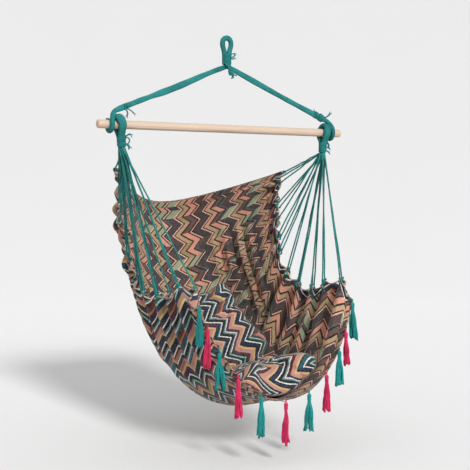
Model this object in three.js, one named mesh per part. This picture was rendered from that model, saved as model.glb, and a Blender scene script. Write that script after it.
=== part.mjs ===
// Hammock chair, hung from one rope eye. Millimetres, +Z up.
// Origin: the top inside of the hanging eye, where the hook carries the chair.
// The spreader bar lies along X, the chair faces -Y.
import * as THREE from 'three';

// ---- driving dimensions (mm) ----
const BAR_DROP = 316;        // hanging eye's inner top to the bar's axis
const BAR_LENGTH = 1000;
const BAR_RADIUS = 14.6;
const BAR_END_ROUND = 6;

const EYE_ROPE_RADIAL = 8.5; // half thickness of the eye's rope in the eye's plane
const EYE_ROPE_DEPTH = 7;    // half thickness along Y
const NECK_TOP = 268;        // eye whipping, measured up from the bar's axis
const NECK_BOTTOM = 228;
const NECK_RADIUS = 16.6;
const NECK_FLATTEN = 0.76;

const ARM_START = [11, 218]; // x, z of each arm's upper end
const ARM_END = [423.4, 51.8];
const ARM_HALF_HEIGHT = 9.5;
const ARM_HALF_DEPTH = 5.5;

const LOOP_X = 454;          // bar loop's place along the bar
const LOOP_ROPE_RADIUS = 7.5;
const LOOP_RADIUS = 22.5;    // of the rope's centre line around the bar

// x of the clew eye, its whipping and the cords' start: the bundle leans a little under the cords' pull
const CLEW_X = { left: [-417, -413, -409], right: [424, 422, 420] };
const CLEW_RING_RADIUS = 25.5;
const CLEW_HALF_THICK = 10.5;
const CLEW_HALF_WIDE = 13;
const CLEW_WHIP_TOP = -36.6;
const CLEW_WHIP_BOTTOM = -75;
const CLEW_WHIP_RADIUS = 14.6;

const CORD_RADIUS = 1.9;
const CORD_PITCH = 4.4;      // spacing of the strands where they leave the whipping
const CORD_TURN = 3.5;       // radius of a doubled cord's turn at the cloth's edge

const CLOTH_HALF_THICK = 1.25;
const HEM_HALF_THICK = 2.2;
const HEM_V = 0.0175;        // share of the cloth's length in the back and front hems
const SIDE_HEM_U = 0.972;    // the side hems run from here to the side edges
const HEM_GAP_V = 0.0007;
const HEM_GAP_U = 0.0012;

const TASSEL_LENGTH = 134;
// each tassel's place on the hem, as a share of the hem's half length from its middle
const TASSEL_U = [-0.975, -0.825, -0.65, -0.43, -0.215, -0.015, 0.185, 0.38, 0.58, 0.725, 0.945];
const TASSEL_FORWARD = 9.6;

const CUSHION_THICK = { back: 76, seat: 130 };

// ---- the cloth's shape ----
// One row for each thirteenth of the cloth's length, from the back hem to the front hem.
// half width between the side edges, side edge y, side edge z, middle y, middle z,
// roundness (0 parabola, 1 ellipse), side bulge. z is measured from the bar's axis.
const STATIONS = [
  [353, 171, -142, 522, -262, 0.08, -27],
  [352, 176, -189, 500, -374, 0.18, -19],
  [351, 183, -245, 469, -485, 0.28, -12],
  [346, 181, -300, 425, -588, 0.36, -9],
  [339, 171, -363, 367, -683, 0.41, -9],
  [334, 157, -428, 300, -772, 0.45, -9],
  [329, 118, -485, 227, -857, 0.46, -6],
  [325, 62, -536, 145, -932, 0.46, 0],
  [321, -17, -576, 45, -980, 0.50, -1],
  [317, -106, -574, -66, -985, 0.51, -3],
  [314, -187, -554, -175, -962, 0.50, -5],
  [312, -268, -532, -282, -931, 0.50, -6],
  [306, -340, -575, -391, -910, 0.52, -6],
];

const COLORS = {
  wood: 0xe3c39c, rope: 0x1f7f77, cord: 0x24786f, cloth: 0x7d6154, hem: 0xb99b82,
  cushion: 0xa98a76, teal: 0x1c7b70, pink: 0xe02a68,
};
const material = (color, roughness = 0.9) =>
  new THREE.MeshStandardMaterial({ color, roughness, metalness: 0 });

const root = new THREE.Group();
const chair = new THREE.Group(); // everything below is measured from the bar's axis
chair.position.z = -BAR_DROP;
root.add(chair);

const V = (x, y, z) => new THREE.Vector3(x, y, z);

function addMesh(name, geometry, mat, x = 0, y = 0, z = 0) {
  const mesh = new THREE.Mesh(geometry, mat);
  mesh.name = name;
  mesh.position.set(x, y, z);
  chair.add(mesh);
  return mesh;
}

// A route through given points, with one ring of the sweep at each point.
class Route extends THREE.Curve {
  constructor(points) { super(); this.points = points; }
  getPoint(t, target = new THREE.Vector3()) {
    const n = this.points.length - 1;
    const f = Math.min(Math.max(t, 0), 1) * n;
    const i = Math.min(Math.floor(f), n - 1);
    return target.lerpVectors(this.points[i], this.points[i + 1], f - i);
  }
  getPointAt(t, target) { return this.getPoint(t, target); }
  getTangent(t, target = new THREE.Vector3()) {
    const n = this.points.length - 1;
    const f = Math.min(Math.max(t, 0), 1) * n;
    const i = Math.round(f);
    const a = this.points[Math.max(i - 1, 0)], b = this.points[i], c = this.points[Math.min(i + 1, n)];
    target.set(0, 0, 0);
    if (i > 0) target.add(b.clone().sub(a).normalize());
    if (i < n) target.add(c.clone().sub(b).normalize());
    return target.normalize();
  }
  getTangentAt(t, target) { return this.getTangent(t, target); }
}

function section(halfA, halfB, sides) {
  const shape = new THREE.Shape();
  for (let i = 0; i < sides; i++) {
    const a = (2 * Math.PI * (i + 0.5)) / sides;
    const x = halfA * Math.cos(a), y = halfB * Math.sin(a);
    if (i === 0) shape.moveTo(x, y); else shape.lineTo(x, y);
  }
  shape.closePath();
  return shape;
}

function sweep(points, halfA, halfB, sides) {
  return new THREE.ExtrudeGeometry(section(halfA, halfB, sides), {
    steps: points.length - 1, extrudePath: new Route(points), bevelEnabled: false,
  });
}

function smooth(points, count) {
  return new THREE.CatmullRomCurve3(points, false, 'centripetal').getSpacedPoints(count);
}

// ---- spreader bar: a turned dowel with rounded ends ----
{
  const h = BAR_LENGTH / 2, r = BAR_RADIUS, c = BAR_END_ROUND;
  const profile = [new THREE.Vector2(0, -h)];
  for (let i = 0; i <= 3; i++) {
    const a = (Math.PI / 2) * (i / 3);
    profile.push(new THREE.Vector2(r - c + c * Math.sin(a), -h + c - c * Math.cos(a)));
  }
  for (let i = 0; i <= 3; i++) {
    const a = (Math.PI / 2) * (i / 3);
    profile.push(new THREE.Vector2(r - c + c * Math.cos(a), h - c + c * Math.sin(a)));
  }
  profile.push(new THREE.Vector2(0, h));
  const g = new THREE.LatheGeometry(profile, 28);
  g.rotateZ(Math.PI / 2);
  addMesh('spreader_bar', g, material(COLORS.wood, 0.6));
}

// ---- hanging eye: the rope's bight, open through Y ----
{
  const top = EYE_ROPE_RADIAL + BAR_DROP;
  const half = [[9.1, NECK_TOP + 1.2], [9.4, NECK_TOP + 6], [13.5, 282], [18.4, 294], [19.6, 304], [17, 314.5], [9.6, 322]];
  const pts = half.map(([x, z]) => V(-x, 0, z));
  pts.push(V(0, 0, top));
  for (const [x, z] of half.slice().reverse()) pts.push(V(x, 0, z));
  addMesh('hanging_eye', sweep(smooth(pts, 26), EYE_ROPE_DEPTH, EYE_ROPE_RADIAL, 10), material(COLORS.rope));
}

// ---- eye whipping: the binding around the eye's neck ----
{
  const r = NECK_RADIUS, b = NECK_BOTTOM, t = NECK_TOP, m = (b + t) / 2;
  const g = new THREE.LatheGeometry([
    new THREE.Vector2(0, b - m), new THREE.Vector2(r, b - m), new THREE.Vector2(r + 1.4, b - m + 5),
    new THREE.Vector2(r + 1.4, t - m - 5), new THREE.Vector2(r, t - m), new THREE.Vector2(0, t - m)], 16);
  g.rotateX(Math.PI / 2);
  g.scale(1, NECK_FLATTEN, 1);
  addMesh('eye_whipping', g, material(COLORS.rope), 0, 0, m);
}

for (const [side, s] of [['left', -1], ['right', 1]]) {
  // ---- arm: the flattened rope from the eye's neck to the bar's end ----
  const arm = [];
  for (let i = 0; i <= 6; i++) {
    const t = i / 6;
    arm.push(V(s * (ARM_START[0] + (ARM_END[0] - ARM_START[0]) * t), 0,
      ARM_START[1] + (ARM_END[1] - ARM_START[1]) * t - 3 * Math.sin(Math.PI * t)));
  }
  addMesh(`arm_${side}`, sweep(arm, ARM_HALF_DEPTH, ARM_HALF_HEIGHT, 12), material(COLORS.rope));

  // ---- bar loop: the arm's rope hooked over, in front of and under the bar ----
  const loop = [V(s * 425.6, 0, 50.9), V(s * 437.5, -3, 44.2), V(s * 447, -10, 33.5), V(s * 452, -17.8, 21), V(s * (LOOP_X - 0.5), -22, 8)];
  for (let i = 0; i <= 9; i++) {
    const a = (Math.PI / 180) * (6 + i * 25.5);
    loop.push(V(s * LOOP_X, -LOOP_RADIUS * Math.cos(a), -LOOP_RADIUS * Math.sin(a)));
  }
  addMesh(`bar_loop_${side}`, sweep(smooth(loop, 24), LOOP_ROPE_RADIUS, LOOP_ROPE_RADIUS, 10), material(COLORS.rope));

  // ---- clew eye: the seat cords' flat bundle around the bar, round about the bar's axis ----
  const ring = [];
  for (let i = 0; i <= 10; i++) {
    const a = (2 * Math.PI * i) / 10;
    ring.push(new THREE.Vector2(CLEW_RING_RADIUS + CLEW_HALF_THICK * Math.cos(a), CLEW_HALF_WIDE * Math.sin(a)));
  }
  ring[10] = ring[0].clone();
  const clew = new THREE.LatheGeometry(ring, 22);
  clew.rotateZ(Math.PI / 2);
  addMesh(`clew_eye_${side}`, clew, material(COLORS.rope), CLEW_X[side][0], 0, 0);

  // ---- clew whipping: the binding below the bar that gathers the cords ----
  const m = (CLEW_WHIP_TOP + CLEW_WHIP_BOTTOM) / 2, hh = (CLEW_WHIP_TOP - CLEW_WHIP_BOTTOM) / 2, r = CLEW_WHIP_RADIUS;
  const whip = new THREE.LatheGeometry([
    new THREE.Vector2(0, -hh), new THREE.Vector2(r - 0.8, -hh), new THREE.Vector2(r, -hh + 4),
    new THREE.Vector2(r, hh - 4), new THREE.Vector2(r - 1.2, hh), new THREE.Vector2(0, hh)], 16);
  whip.rotateX(Math.PI / 2);
  addMesh(`clew_whipping_${side}`, whip, material(COLORS.rope), CLEW_X[side][1], 0, m);
}

// ---- the cloth's surface, as a function of u (-1..1 across) and v (0..1, back to front) ----
function station(v) {
  const n = STATIONS.length - 1;
  const f = Math.min(Math.max(v, 0), 1) * n;
  const i = Math.min(Math.floor(f), n - 1), t = f - i;
  const p0 = STATIONS[Math.max(i - 1, 0)], p1 = STATIONS[i], p2 = STATIONS[i + 1], p3 = STATIONS[Math.min(i + 2, n)];
  return p1.map((_, k) => {
    const a = i === 0 ? 2 * p1[k] - p2[k] : p0[k];
    const d = i === n - 1 ? 2 * p2[k] - p1[k] : p3[k];
    return 0.5 * (2 * p1[k] + (p2[k] - a) * t + (2 * a - 5 * p1[k] + 4 * p2[k] - d) * t * t
      + (3 * p1[k] - a - 3 * p2[k] + d) * t * t * t);
  });
}

function rowPoint(st, w) { // w is -1..1, not yet even along the row
  const [half, ye, ze, ym, zm, round, bulge] = st;
  const x = half * ((1 - round) * w + round * Math.sin((Math.PI * w) / 2)) + bulge * Math.sin(Math.PI * w);
  const f = (1 - round) * (1 - w * w) + round * Math.cos((Math.PI * w) / 2);
  return V(x, ye + (ym - ye) * f, ze + (zm - ze) * f);
}

const rowCache = new Map();
function row(v) {
  const key = v.toFixed(7);
  if (!rowCache.has(key)) {
    const st = station(v), N = 240, pts = [], len = [0];
    for (let i = 0; i <= N; i++) {
      pts.push(rowPoint(st, -1 + (2 * i) / N));
      if (i) len.push(len[i - 1] + pts[i].distanceTo(pts[i - 1]));
    }
    rowCache.set(key, { pts, len });
  }
  return rowCache.get(key);
}

function cloth(u, v) { // even in u along each row
  const { pts, len } = row(v);
  const target = ((u + 1) / 2) * len[len.length - 1];
  let lo = 0, hi = len.length - 1;
  while (hi - lo > 1) { const mid = (lo + hi) >> 1; if (len[mid] <= target) lo = mid; else hi = mid; }
  const t = (target - len[lo]) / (len[hi] - len[lo]);
  return pts[lo].clone().lerp(pts[hi], t);
}

function outward(u, v) { // unit normal, away from the seat's inside
  const e = 0.004;
  const ua = Math.max(u - e, -1), ub = Math.min(u + e, 1), va = Math.max(v - e, 0), vb = Math.min(v + e, 1);
  const du = cloth(ub, v).sub(cloth(ua, v)), dv = cloth(u, vb).sub(cloth(u, va));
  return du.cross(dv).normalize();
}

// A closed shell over a grid of (u, v) values, half thick on each side of the cloth's surface.
function shell(us, vs, half) {
  const nu = us.length, nv = vs.length, pos = [], idx = [];
  for (const s of [1, -1]) for (const v of vs) for (const u of us) {
    const p = cloth(u, v).addScaledVector(outward(u, v), s * half);
    pos.push(p.x, p.y, p.z);
  }
  const O = (i, j) => j * nu + i, I = (i, j) => nu * nv + j * nu + i;
  const quad = (a, b, c, d) => idx.push(a, b, c, a, c, d);
  for (let j = 0; j < nv - 1; j++) for (let i = 0; i < nu - 1; i++) {
    quad(O(i, j), O(i + 1, j), O(i + 1, j + 1), O(i, j + 1));
    quad(I(i, j), I(i, j + 1), I(i + 1, j + 1), I(i + 1, j));
  }
  for (let i = 0; i < nu - 1; i++) {
    quad(O(i, 0), I(i, 0), I(i + 1, 0), O(i + 1, 0));
    quad(O(i, nv - 1), O(i + 1, nv - 1), I(i + 1, nv - 1), I(i, nv - 1));
  }
  for (let j = 0; j < nv - 1; j++) {
    quad(O(0, j), O(0, j + 1), I(0, j + 1), I(0, j));
    quad(O(nu - 1, j), I(nu - 1, j), I(nu - 1, j + 1), O(nu - 1, j + 1));
  }
  const g = new THREE.BufferGeometry();
  g.setAttribute('position', new THREE.Float32BufferAttribute(pos, 3));
  g.setIndex(idx);
  g.computeVertexNormals();
  return g;
}

const steps = (a, b, n) => Array.from({ length: n + 1 }, (_, i) => a + ((b - a) * i) / n);
const innerU = steps(-(SIDE_HEM_U - HEM_GAP_U), SIDE_HEM_U - HEM_GAP_U, 28);
const innerV = steps(HEM_V + HEM_GAP_V, 1 - HEM_V - HEM_GAP_V, 34);

addMesh('seat_cloth', shell(innerU, innerV, CLOTH_HALF_THICK), material(COLORS.cloth));
addMesh('side_hem_left', shell([-1, -SIDE_HEM_U], innerV, HEM_HALF_THICK), material(COLORS.hem));
addMesh('side_hem_right', shell([SIDE_HEM_U, 1], innerV, HEM_HALF_THICK), material(COLORS.hem));
addMesh('back_hem', shell([-1, ...innerU, 1], [0, HEM_V], HEM_HALF_THICK), material(COLORS.hem));
addMesh('front_hem', shell([-1, ...innerU, 1], [1 - HEM_V, 1], HEM_HALF_THICK), material(COLORS.hem));

// ---- suspension cords, from the clew whipping to the cloth's side edge ----
// Each entry is [v at the side edge, doubled]. A doubled cord goes down, turns at the edge and comes back.
const CORDS = [
  [0.012, false], [0.062, true], [0.22, true],
  [0.29, false], [0.385, true], [0.464, true],
  [0.575, true], [0.62, false], [0.662, true],
  [0.705, true], [0.745, false], [0.785, false],
  [0.845, false], [0.898, false], [0.945, false],
];
const CORD_COLUMNS = [5, 5, 5, 4, 3]; // strands in each column of the bundle, from the back to the front

for (const [side, s] of [['left', -1], ['right', 1]]) {
  const starts = [];
  CORD_COLUMNS.forEach((count, c) => {
    for (let k = 0; k < count; k++) {
      starts.push(V(CLEW_X[side][2] + s * (k - (count - 1) / 2) * CORD_PITCH, (2 - c) * CORD_PITCH, CLEW_WHIP_BOTTOM - 2.4));
    }
  });
  let strand = 0;
  CORDS.forEach(([v, doubled], i) => {
    const edge = cloth(s, v);
    const a = starts[strand++];
    const along = cloth(s, Math.min(v + 0.01, 1)).sub(cloth(s, Math.max(v - 0.01, 0))).normalize();
    const down = edge.clone().sub(a).normalize();
    let pts;
    if (doubled) {
      const b = starts[strand++];
      const across = along.clone().addScaledVector(down, -along.dot(down)).normalize();
      const centre = edge.clone().addScaledVector(down, -(CORD_TURN + CORD_RADIUS + 5));
      pts = [a];
      for (let k = 0; k <= 4; k++) {
        const t = (Math.PI * k) / 4;
        pts.push(centre.clone().addScaledVector(across, CORD_TURN * Math.cos(t)).addScaledVector(down, CORD_TURN * Math.sin(t)));
      }
      pts.push(b);
    } else {
      pts = [a, edge.clone().addScaledVector(down, -6)];
    }
    const name = `cord_${side}_${String(i + 1).padStart(2, '0')}`;
    addMesh(name, sweep(pts, CORD_RADIUS, CORD_RADIUS, 8), material(COLORS.cord));
  });
}

// ---- tassels along the front hem, teal and pink in turn ----
for (let k = 0; k < TASSEL_U.length; k++) {
  const p = cloth(TASSEL_U[k], 1);
  const L = TASSEL_LENGTH;
  const g = new THREE.LatheGeometry([
    new THREE.Vector2(0, -L), new THREE.Vector2(11, -L), new THREE.Vector2(8.6, -L * 0.55), new THREE.Vector2(6.6, -L * 0.24),
    new THREE.Vector2(7.6, -L * 0.16), new THREE.Vector2(5.6, -L * 0.085), new THREE.Vector2(1.6, -L * 0.055),
    new THREE.Vector2(1.6, 0), new THREE.Vector2(0, 0)], 10);
  g.rotateX(Math.PI / 2);
  addMesh(`tassel_${String(k + 1).padStart(2, '0')}`, g, material(k % 2 ? COLORS.pink : COLORS.teal),
    p.x, p.y - TASSEL_FORWARD, p.z);
}

// ---- loose cushions, lying in the cloth's hollow ----
function cushion(u0, du, v0, dv, n, gap, thick, slump) {
  const pos = [], idx = [], N = n + 1;
  const profile = (a, b) => Math.pow(Math.max(0, (1 - Math.pow(Math.abs(a), 2.6)) * (1 - Math.pow(Math.abs(b), 2.6))), 0.62);
  const grade = (i) => Math.sin(((-1 + (2 * i) / n) * Math.PI) / 2);
  const point = (i, j, up) => {
    const a = grade(i), b = grade(j);
    const aa = a * (1 - 0.07 * (1 - b * b)), bb = b * (1 - 0.07 * (1 - a * a));
    const u = u0 + du * aa, v = v0 + dv * bb, f = profile(a, b);
    const low = gap + 14 * (1 - f);
    return cloth(u, v).addScaledVector(outward(u, v), -(low + (up ? thick * f * (1 + slump * b) : 0)));
  };
  const id = [[], []];
  for (const up of [0, 1]) for (let j = 0; j < N; j++) for (let i = 0; i < N; i++) {
    const rim = i === 0 || j === 0 || i === n || j === n;
    if (up && rim) { id[1].push(id[0][j * N + i]); continue; }
    const p = point(i, j, up);
    id[up].push(pos.length / 3);
    pos.push(p.x, p.y, p.z);
  }
  for (let j = 0; j < n; j++) for (let i = 0; i < n; i++) {
    for (const up of [0, 1]) {
      const a = id[up][j * N + i], b = id[up][j * N + i + 1], c = id[up][(j + 1) * N + i + 1], d = id[up][(j + 1) * N + i];
      const tris = (i + j) % 2 ? [[a, b, c], [a, c, d]] : [[a, b, d], [b, c, d]];
      for (const t of tris) { if (up) idx.push(t[0], t[2], t[1]); else idx.push(...t); }
    }
  }
  const g = new THREE.BufferGeometry();
  g.setAttribute('position', new THREE.Float32BufferAttribute(pos, 3));
  g.setIndex(idx);
  g.computeVertexNormals();
  return g;
}
// The fill slumps to the back cushion's low end, and to the front of the seat cushion.
addMesh('cushion_back', cushion(0.06, 0.43, 0.466, 0.152, 10, 6, CUSHION_THICK.back, 0.32), material(COLORS.cushion));
addMesh('cushion_seat', cushion(0.08, 0.41, 0.792, 0.148, 10, 6, CUSHION_THICK.seat, 0.12), material(COLORS.cushion));

export default root;
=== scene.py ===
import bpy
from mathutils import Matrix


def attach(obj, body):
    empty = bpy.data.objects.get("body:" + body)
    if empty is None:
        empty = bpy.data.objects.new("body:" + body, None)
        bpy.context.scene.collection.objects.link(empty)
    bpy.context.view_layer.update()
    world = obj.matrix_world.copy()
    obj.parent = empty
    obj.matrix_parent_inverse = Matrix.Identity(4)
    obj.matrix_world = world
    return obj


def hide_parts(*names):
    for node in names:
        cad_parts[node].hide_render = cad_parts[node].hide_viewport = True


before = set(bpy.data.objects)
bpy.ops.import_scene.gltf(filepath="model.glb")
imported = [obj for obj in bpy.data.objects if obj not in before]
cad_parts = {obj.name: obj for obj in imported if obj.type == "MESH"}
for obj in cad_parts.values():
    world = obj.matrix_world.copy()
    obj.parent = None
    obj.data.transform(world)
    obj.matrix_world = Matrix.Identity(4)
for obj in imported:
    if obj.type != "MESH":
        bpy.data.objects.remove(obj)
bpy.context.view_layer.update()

import math

import bpy
import numpy as np
from mathutils import Matrix, Vector

# ------------------------------------------------------------------
# Row frame, metres: +Z up, the bar along X, the chair faces -Y, the
# origin is the top inside of the hanging eye.
# ------------------------------------------------------------------
BAR_Z = -0.316
FLAT_W, FLAT_L = 1.10, 1.34          # the cloth's cut size
RNG = np.random.default_rng(7)

STATIONS = np.array([
    [353, 171, -142, 522, -262, 0.08, -27],
    [352, 176, -189, 500, -374, 0.18, -19],
    [351, 183, -245, 469, -485, 0.28, -12],
    [346, 181, -300, 425, -588, 0.36, -9],
    [339, 171, -363, 367, -683, 0.41, -9],
    [334, 157, -428, 300, -772, 0.45, -9],
    [329, 118, -485, 227, -857, 0.46, -6],
    [325, 62, -536, 145, -932, 0.46, 0],
    [321, -17, -576, 45, -980, 0.50, -1],
    [317, -106, -574, -66, -985, 0.51, -3],
    [314, -187, -554, -175, -962, 0.50, -5],
    [312, -268, -532, -282, -931, 0.50, -6],
    [306, -340, -575, -391, -910, 0.52, -6],
], float)
STATIONS[:, [0, 1, 2, 3, 4, 6]] /= 1000.0


def station(v):
    n = len(STATIONS) - 1
    f = np.clip(v, 0, 1) * n
    i = np.minimum(np.floor(f).astype(int), n - 1)
    t = (f - i)[:, None]
    p1, p2 = STATIONS[i], STATIONS[i + 1]
    a = np.where((i == 0)[:, None], 2 * p1 - p2, STATIONS[np.maximum(i - 1, 0)])
    d = np.where((i == n - 1)[:, None], 2 * p2 - p1, STATIONS[np.minimum(i + 2, n)])
    return 0.5 * (2 * p1 + (p2 - a) * t + (2 * a - 5 * p1 + 4 * p2 - d) * t * t
                  + (3 * p1 - a - 3 * p2 + d) * t ** 3)


# The surface on an even grid of (u, v), from which any point is interpolated.
TU, TV = 481, 481
_v = np.linspace(0, 1, TV)
_st = station(_v)
_w = np.linspace(-1, 1, 721)
_half, _ye, _ze, _ym, _zm, _ro, _bu = [c[:, None] for c in _st.T]
_x = _half * ((1 - _ro) * _w + _ro * np.sin(np.pi * _w / 2)) + _bu * np.sin(np.pi * _w)
_f = (1 - _ro) * (1 - _w ** 2) + _ro * np.cos(np.pi * _w / 2)
_P = np.stack([_x, _ye + (_ym - _ye) * _f, _ze + (_zm - _ze) * _f + BAR_Z], -1)
_len = np.concatenate([np.zeros((TV, 1)), np.cumsum(np.linalg.norm(np.diff(_P, axis=1), axis=2), axis=1)], 1)
ROW_LEN = _len[:, -1]
TABLE = np.zeros((TV, TU, 3))
for _j in range(TV):
    _t = np.linspace(0, _len[_j, -1], TU)
    for _k in range(3):
        TABLE[_j, :, _k] = np.interp(_t, _len[_j], _P[_j, :, _k])
_du = np.gradient(TABLE, axis=1)
_dv = np.gradient(TABLE, axis=0)
NORMAL = np.cross(_du, _dv)
NORMAL /= np.linalg.norm(NORMAL, axis=2, keepdims=True)


def look_up(table, u, v):
    fu = np.clip((np.asarray(u, float) + 1) / 2, 0, 1) * (TU - 1)
    fv = np.clip(np.asarray(v, float), 0, 1) * (TV - 1)
    i = np.minimum(fu.astype(int), TU - 2)
    j = np.minimum(fv.astype(int), TV - 2)
    a, b = (fu - i)[..., None], (fv - j)[..., None]
    return ((table[j, i] * (1 - a) + table[j, i + 1] * a) * (1 - b)
            + (table[j + 1, i] * (1 - a) + table[j + 1, i + 1] * a) * b)


def cloth(u, v):
    return look_up(TABLE, u, v)


def outward(u, v):
    n = look_up(NORMAL, u, v)
    return n / np.linalg.norm(n, axis=-1, keepdims=True)


def row_length(v):
    return np.interp(v, np.linspace(0, 1, TV), ROW_LEN)


# ------------------------------------------------------------------
# mesh helpers
# ------------------------------------------------------------------
def srgb(*c):
    if len(c) == 1:
        h = c[0]
        c = ((h >> 16 & 255) / 255, (h >> 8 & 255) / 255, (h & 255) / 255)
    return tuple(x / 12.92 if x <= 0.04045 else ((x + 0.055) / 1.055) ** 2.4 for x in c) + (1.0,)


def make_object(name, verts, faces, smooth=True, uv=None, mats=(), mat_index=None, loops_uv=None):
    me = bpy.data.meshes.new(name)
    me.from_pydata([tuple(map(float, v)) for v in verts], [], [tuple(map(int, f)) for f in faces])
    me.update()
    if smooth:
        me.polygons.foreach_set("use_smooth", [True] * len(me.polygons))
    for m in mats:
        me.materials.append(m)
    if mat_index is not None:
        me.polygons.foreach_set("material_index", np.asarray(mat_index, np.int32))
    for uvname, per_vertex in (uv or {}).items():
        layer = me.uv_layers.new(name=uvname)
        idx = np.zeros(len(me.loops), np.int32)
        me.loops.foreach_get("vertex_index", idx)
        co = np.asarray(per_vertex, np.float32)[idx]
        if uvname == "lay":                       # close the seam round each strand
            start = np.zeros(len(me.polygons), np.int32)
            count = np.zeros(len(me.polygons), np.int32)
            me.polygons.foreach_get("loop_start", start)
            me.polygons.foreach_get("loop_total", count)
            for n in np.unique(count):
                sel = start[count == n][:, None] + np.arange(n)
                part = co[sel, 0]
                wide = (part.max(1) - part.min(1)) > 0.6
                part = np.where(wide[:, None] & (part < 0.4), part + 1.0, part)
                co[sel, 0] = part
        layer.data.foreach_set("uv", co.ravel())
    ob = bpy.data.objects.new(name, me)
    bpy.context.scene.collection.objects.link(ob)
    return ob


class Bag:
    """Gathers vertices, faces and per-vertex coordinates of one piece."""

    def __init__(self):
        self.v, self.f, self.uv, self.n, self.m = [], [], [], 0, []

    def add(self, verts, faces, uv=None, m=0):
        verts = np.asarray(verts, float)
        self.v.append(verts)
        self.f += [tuple(int(i) + self.n for i in f) for f in faces]
        self.m += [m] * len(faces)
        self.uv.append(np.zeros((len(verts), 2)) if uv is None else np.asarray(uv, float))
        self.n += len(verts)

    def build(self, name, mats, smooth=True):
        return make_object(name, np.concatenate(self.v), self.f, smooth, {"lay": np.concatenate(self.uv)}, mats, self.m)


def unit(a):
    return a / np.maximum(np.linalg.norm(a, axis=-1, keepdims=True), 1e-12)


def smooth_path(points, step):
    """Centripetal Catmull-Rom through the points, resampled evenly."""
    p = np.asarray(points, float)
    ext = np.vstack([2 * p[0] - p[1], p, 2 * p[-1] - p[-2]])
    out = []
    for i in range(1, len(ext) - 2):
        p0, p1, p2, p3 = ext[i - 1:i + 3]
        t0 = 0.0
        t1 = t0 + max(np.linalg.norm(p1 - p0), 1e-9) ** 0.5
        t2 = t1 + max(np.linalg.norm(p2 - p1), 1e-9) ** 0.5
        t3 = t2 + max(np.linalg.norm(p3 - p2), 1e-9) ** 0.5
        for t in np.linspace(t1, t2, 24, endpoint=False):
            a1 = (t1 - t) / (t1 - t0) * p0 + (t - t0) / (t1 - t0) * p1
            a2 = (t2 - t) / (t2 - t1) * p1 + (t - t1) / (t2 - t1) * p2
            a3 = (t3 - t) / (t3 - t2) * p2 + (t - t2) / (t3 - t2) * p3
            b1 = (t2 - t) / (t2 - t0) * a1 + (t - t0) / (t2 - t0) * a2
            b2 = (t3 - t) / (t3 - t1) * a2 + (t - t1) / (t3 - t1) * a3
            out.append((t2 - t) / (t2 - t1) * b1 + (t - t1) / (t2 - t1) * b2)
    out.append(p[-1])
    return even(np.array(out), step)


def even(p, step):
    d = np.concatenate([[0], np.cumsum(np.linalg.norm(np.diff(p, axis=0), axis=1))])
    n = max(2, int(round(d[-1] / step)) + 1)
    t = np.linspace(0, d[-1], n)
    return np.stack([np.interp(t, d, p[:, k]) for k in range(3)], 1)


def frames(path, up):
    """Tangent, side and normal along a path, carried without twist from the first up direction."""
    t = np.gradient(path, axis=0)
    t = unit(t)
    n = np.zeros_like(path)
    cur = np.asarray(up, float)
    for i in range(len(path)):
        cur = cur - t[i] * (cur @ t[i])
        cur = cur / max(np.linalg.norm(cur), 1e-9)
        n[i] = cur
    return t, np.cross(t, n), n


def tube(bag, path, radius, sides=12, up=(0, 0, 1), cap=True, m=0, taper=None, s0=0.0, dome=0.0):
    """radius(theta array, s array) gives (offset along side, offset along normal) or one radius."""
    path = np.asarray(path, float)
    t, b, n = frames(path, up)
    s = np.concatenate([[0], np.cumsum(np.linalg.norm(np.diff(path, axis=0), axis=1))]) + s0
    th = np.arange(sides) * 2 * np.pi / sides
    T, S = np.meshgrid(th, s)
    r = radius(T, S) if callable(radius) else radius
    if isinstance(r, tuple):
        ox, oy = r
    else:
        ox, oy = r * np.cos(T), r * np.sin(T)
    if taper is not None:
        k = taper((s - s[0]) / (s[-1] - s[0]))[:, None]
        ox, oy = ox * k, oy * k
    verts = path[:, None, :] + ox[..., None] * b[:, None, :] + oy[..., None] * n[:, None, :]
    nr = len(path)
    verts = verts.reshape(-1, 3)
    uv = np.stack([T.ravel() / (2 * np.pi), S.ravel()], 1)
    faces = []
    for i in range(nr - 1):
        a0, b0 = i * sides, (i + 1) * sides
        for k in range(sides):
            k2 = (k + 1) % sides
            faces.append((a0 + k, a0 + k2, b0 + k2, b0 + k))
    if cap:
        verts = np.vstack([verts, path[0] - t[0] * dome, path[-1] + t[-1] * dome])
        uv = np.vstack([uv, [0.5, s[0]], [0.5, s[-1]]])
        c0, c1 = nr * sides, nr * sides + 1
        for k in range(sides):
            k2 = (k + 1) % sides
            faces.append((c0, k2, k))
            faces.append((c1, (nr - 1) * sides + k, (nr - 1) * sides + k2))
    bag.add(verts, faces, uv, m)


def three_ply(R, pitch, phase=0.0, wobble=0.0):
    def r(T, S):
        a = (T - 2 * np.pi * S / pitch - phase) % (2 * np.pi / 3) - np.pi / 3
        o, q = 0.40 * R, 0.60 * R
        base = o * np.cos(a) + np.sqrt(np.maximum(q * q - (o * np.sin(a)) ** 2, 0))
        if wobble:
            base = base * (1 + wobble * np.sin(S * 310 + phase * 7) * np.sin(S * 97 + phase))
        return base
    return r


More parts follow.
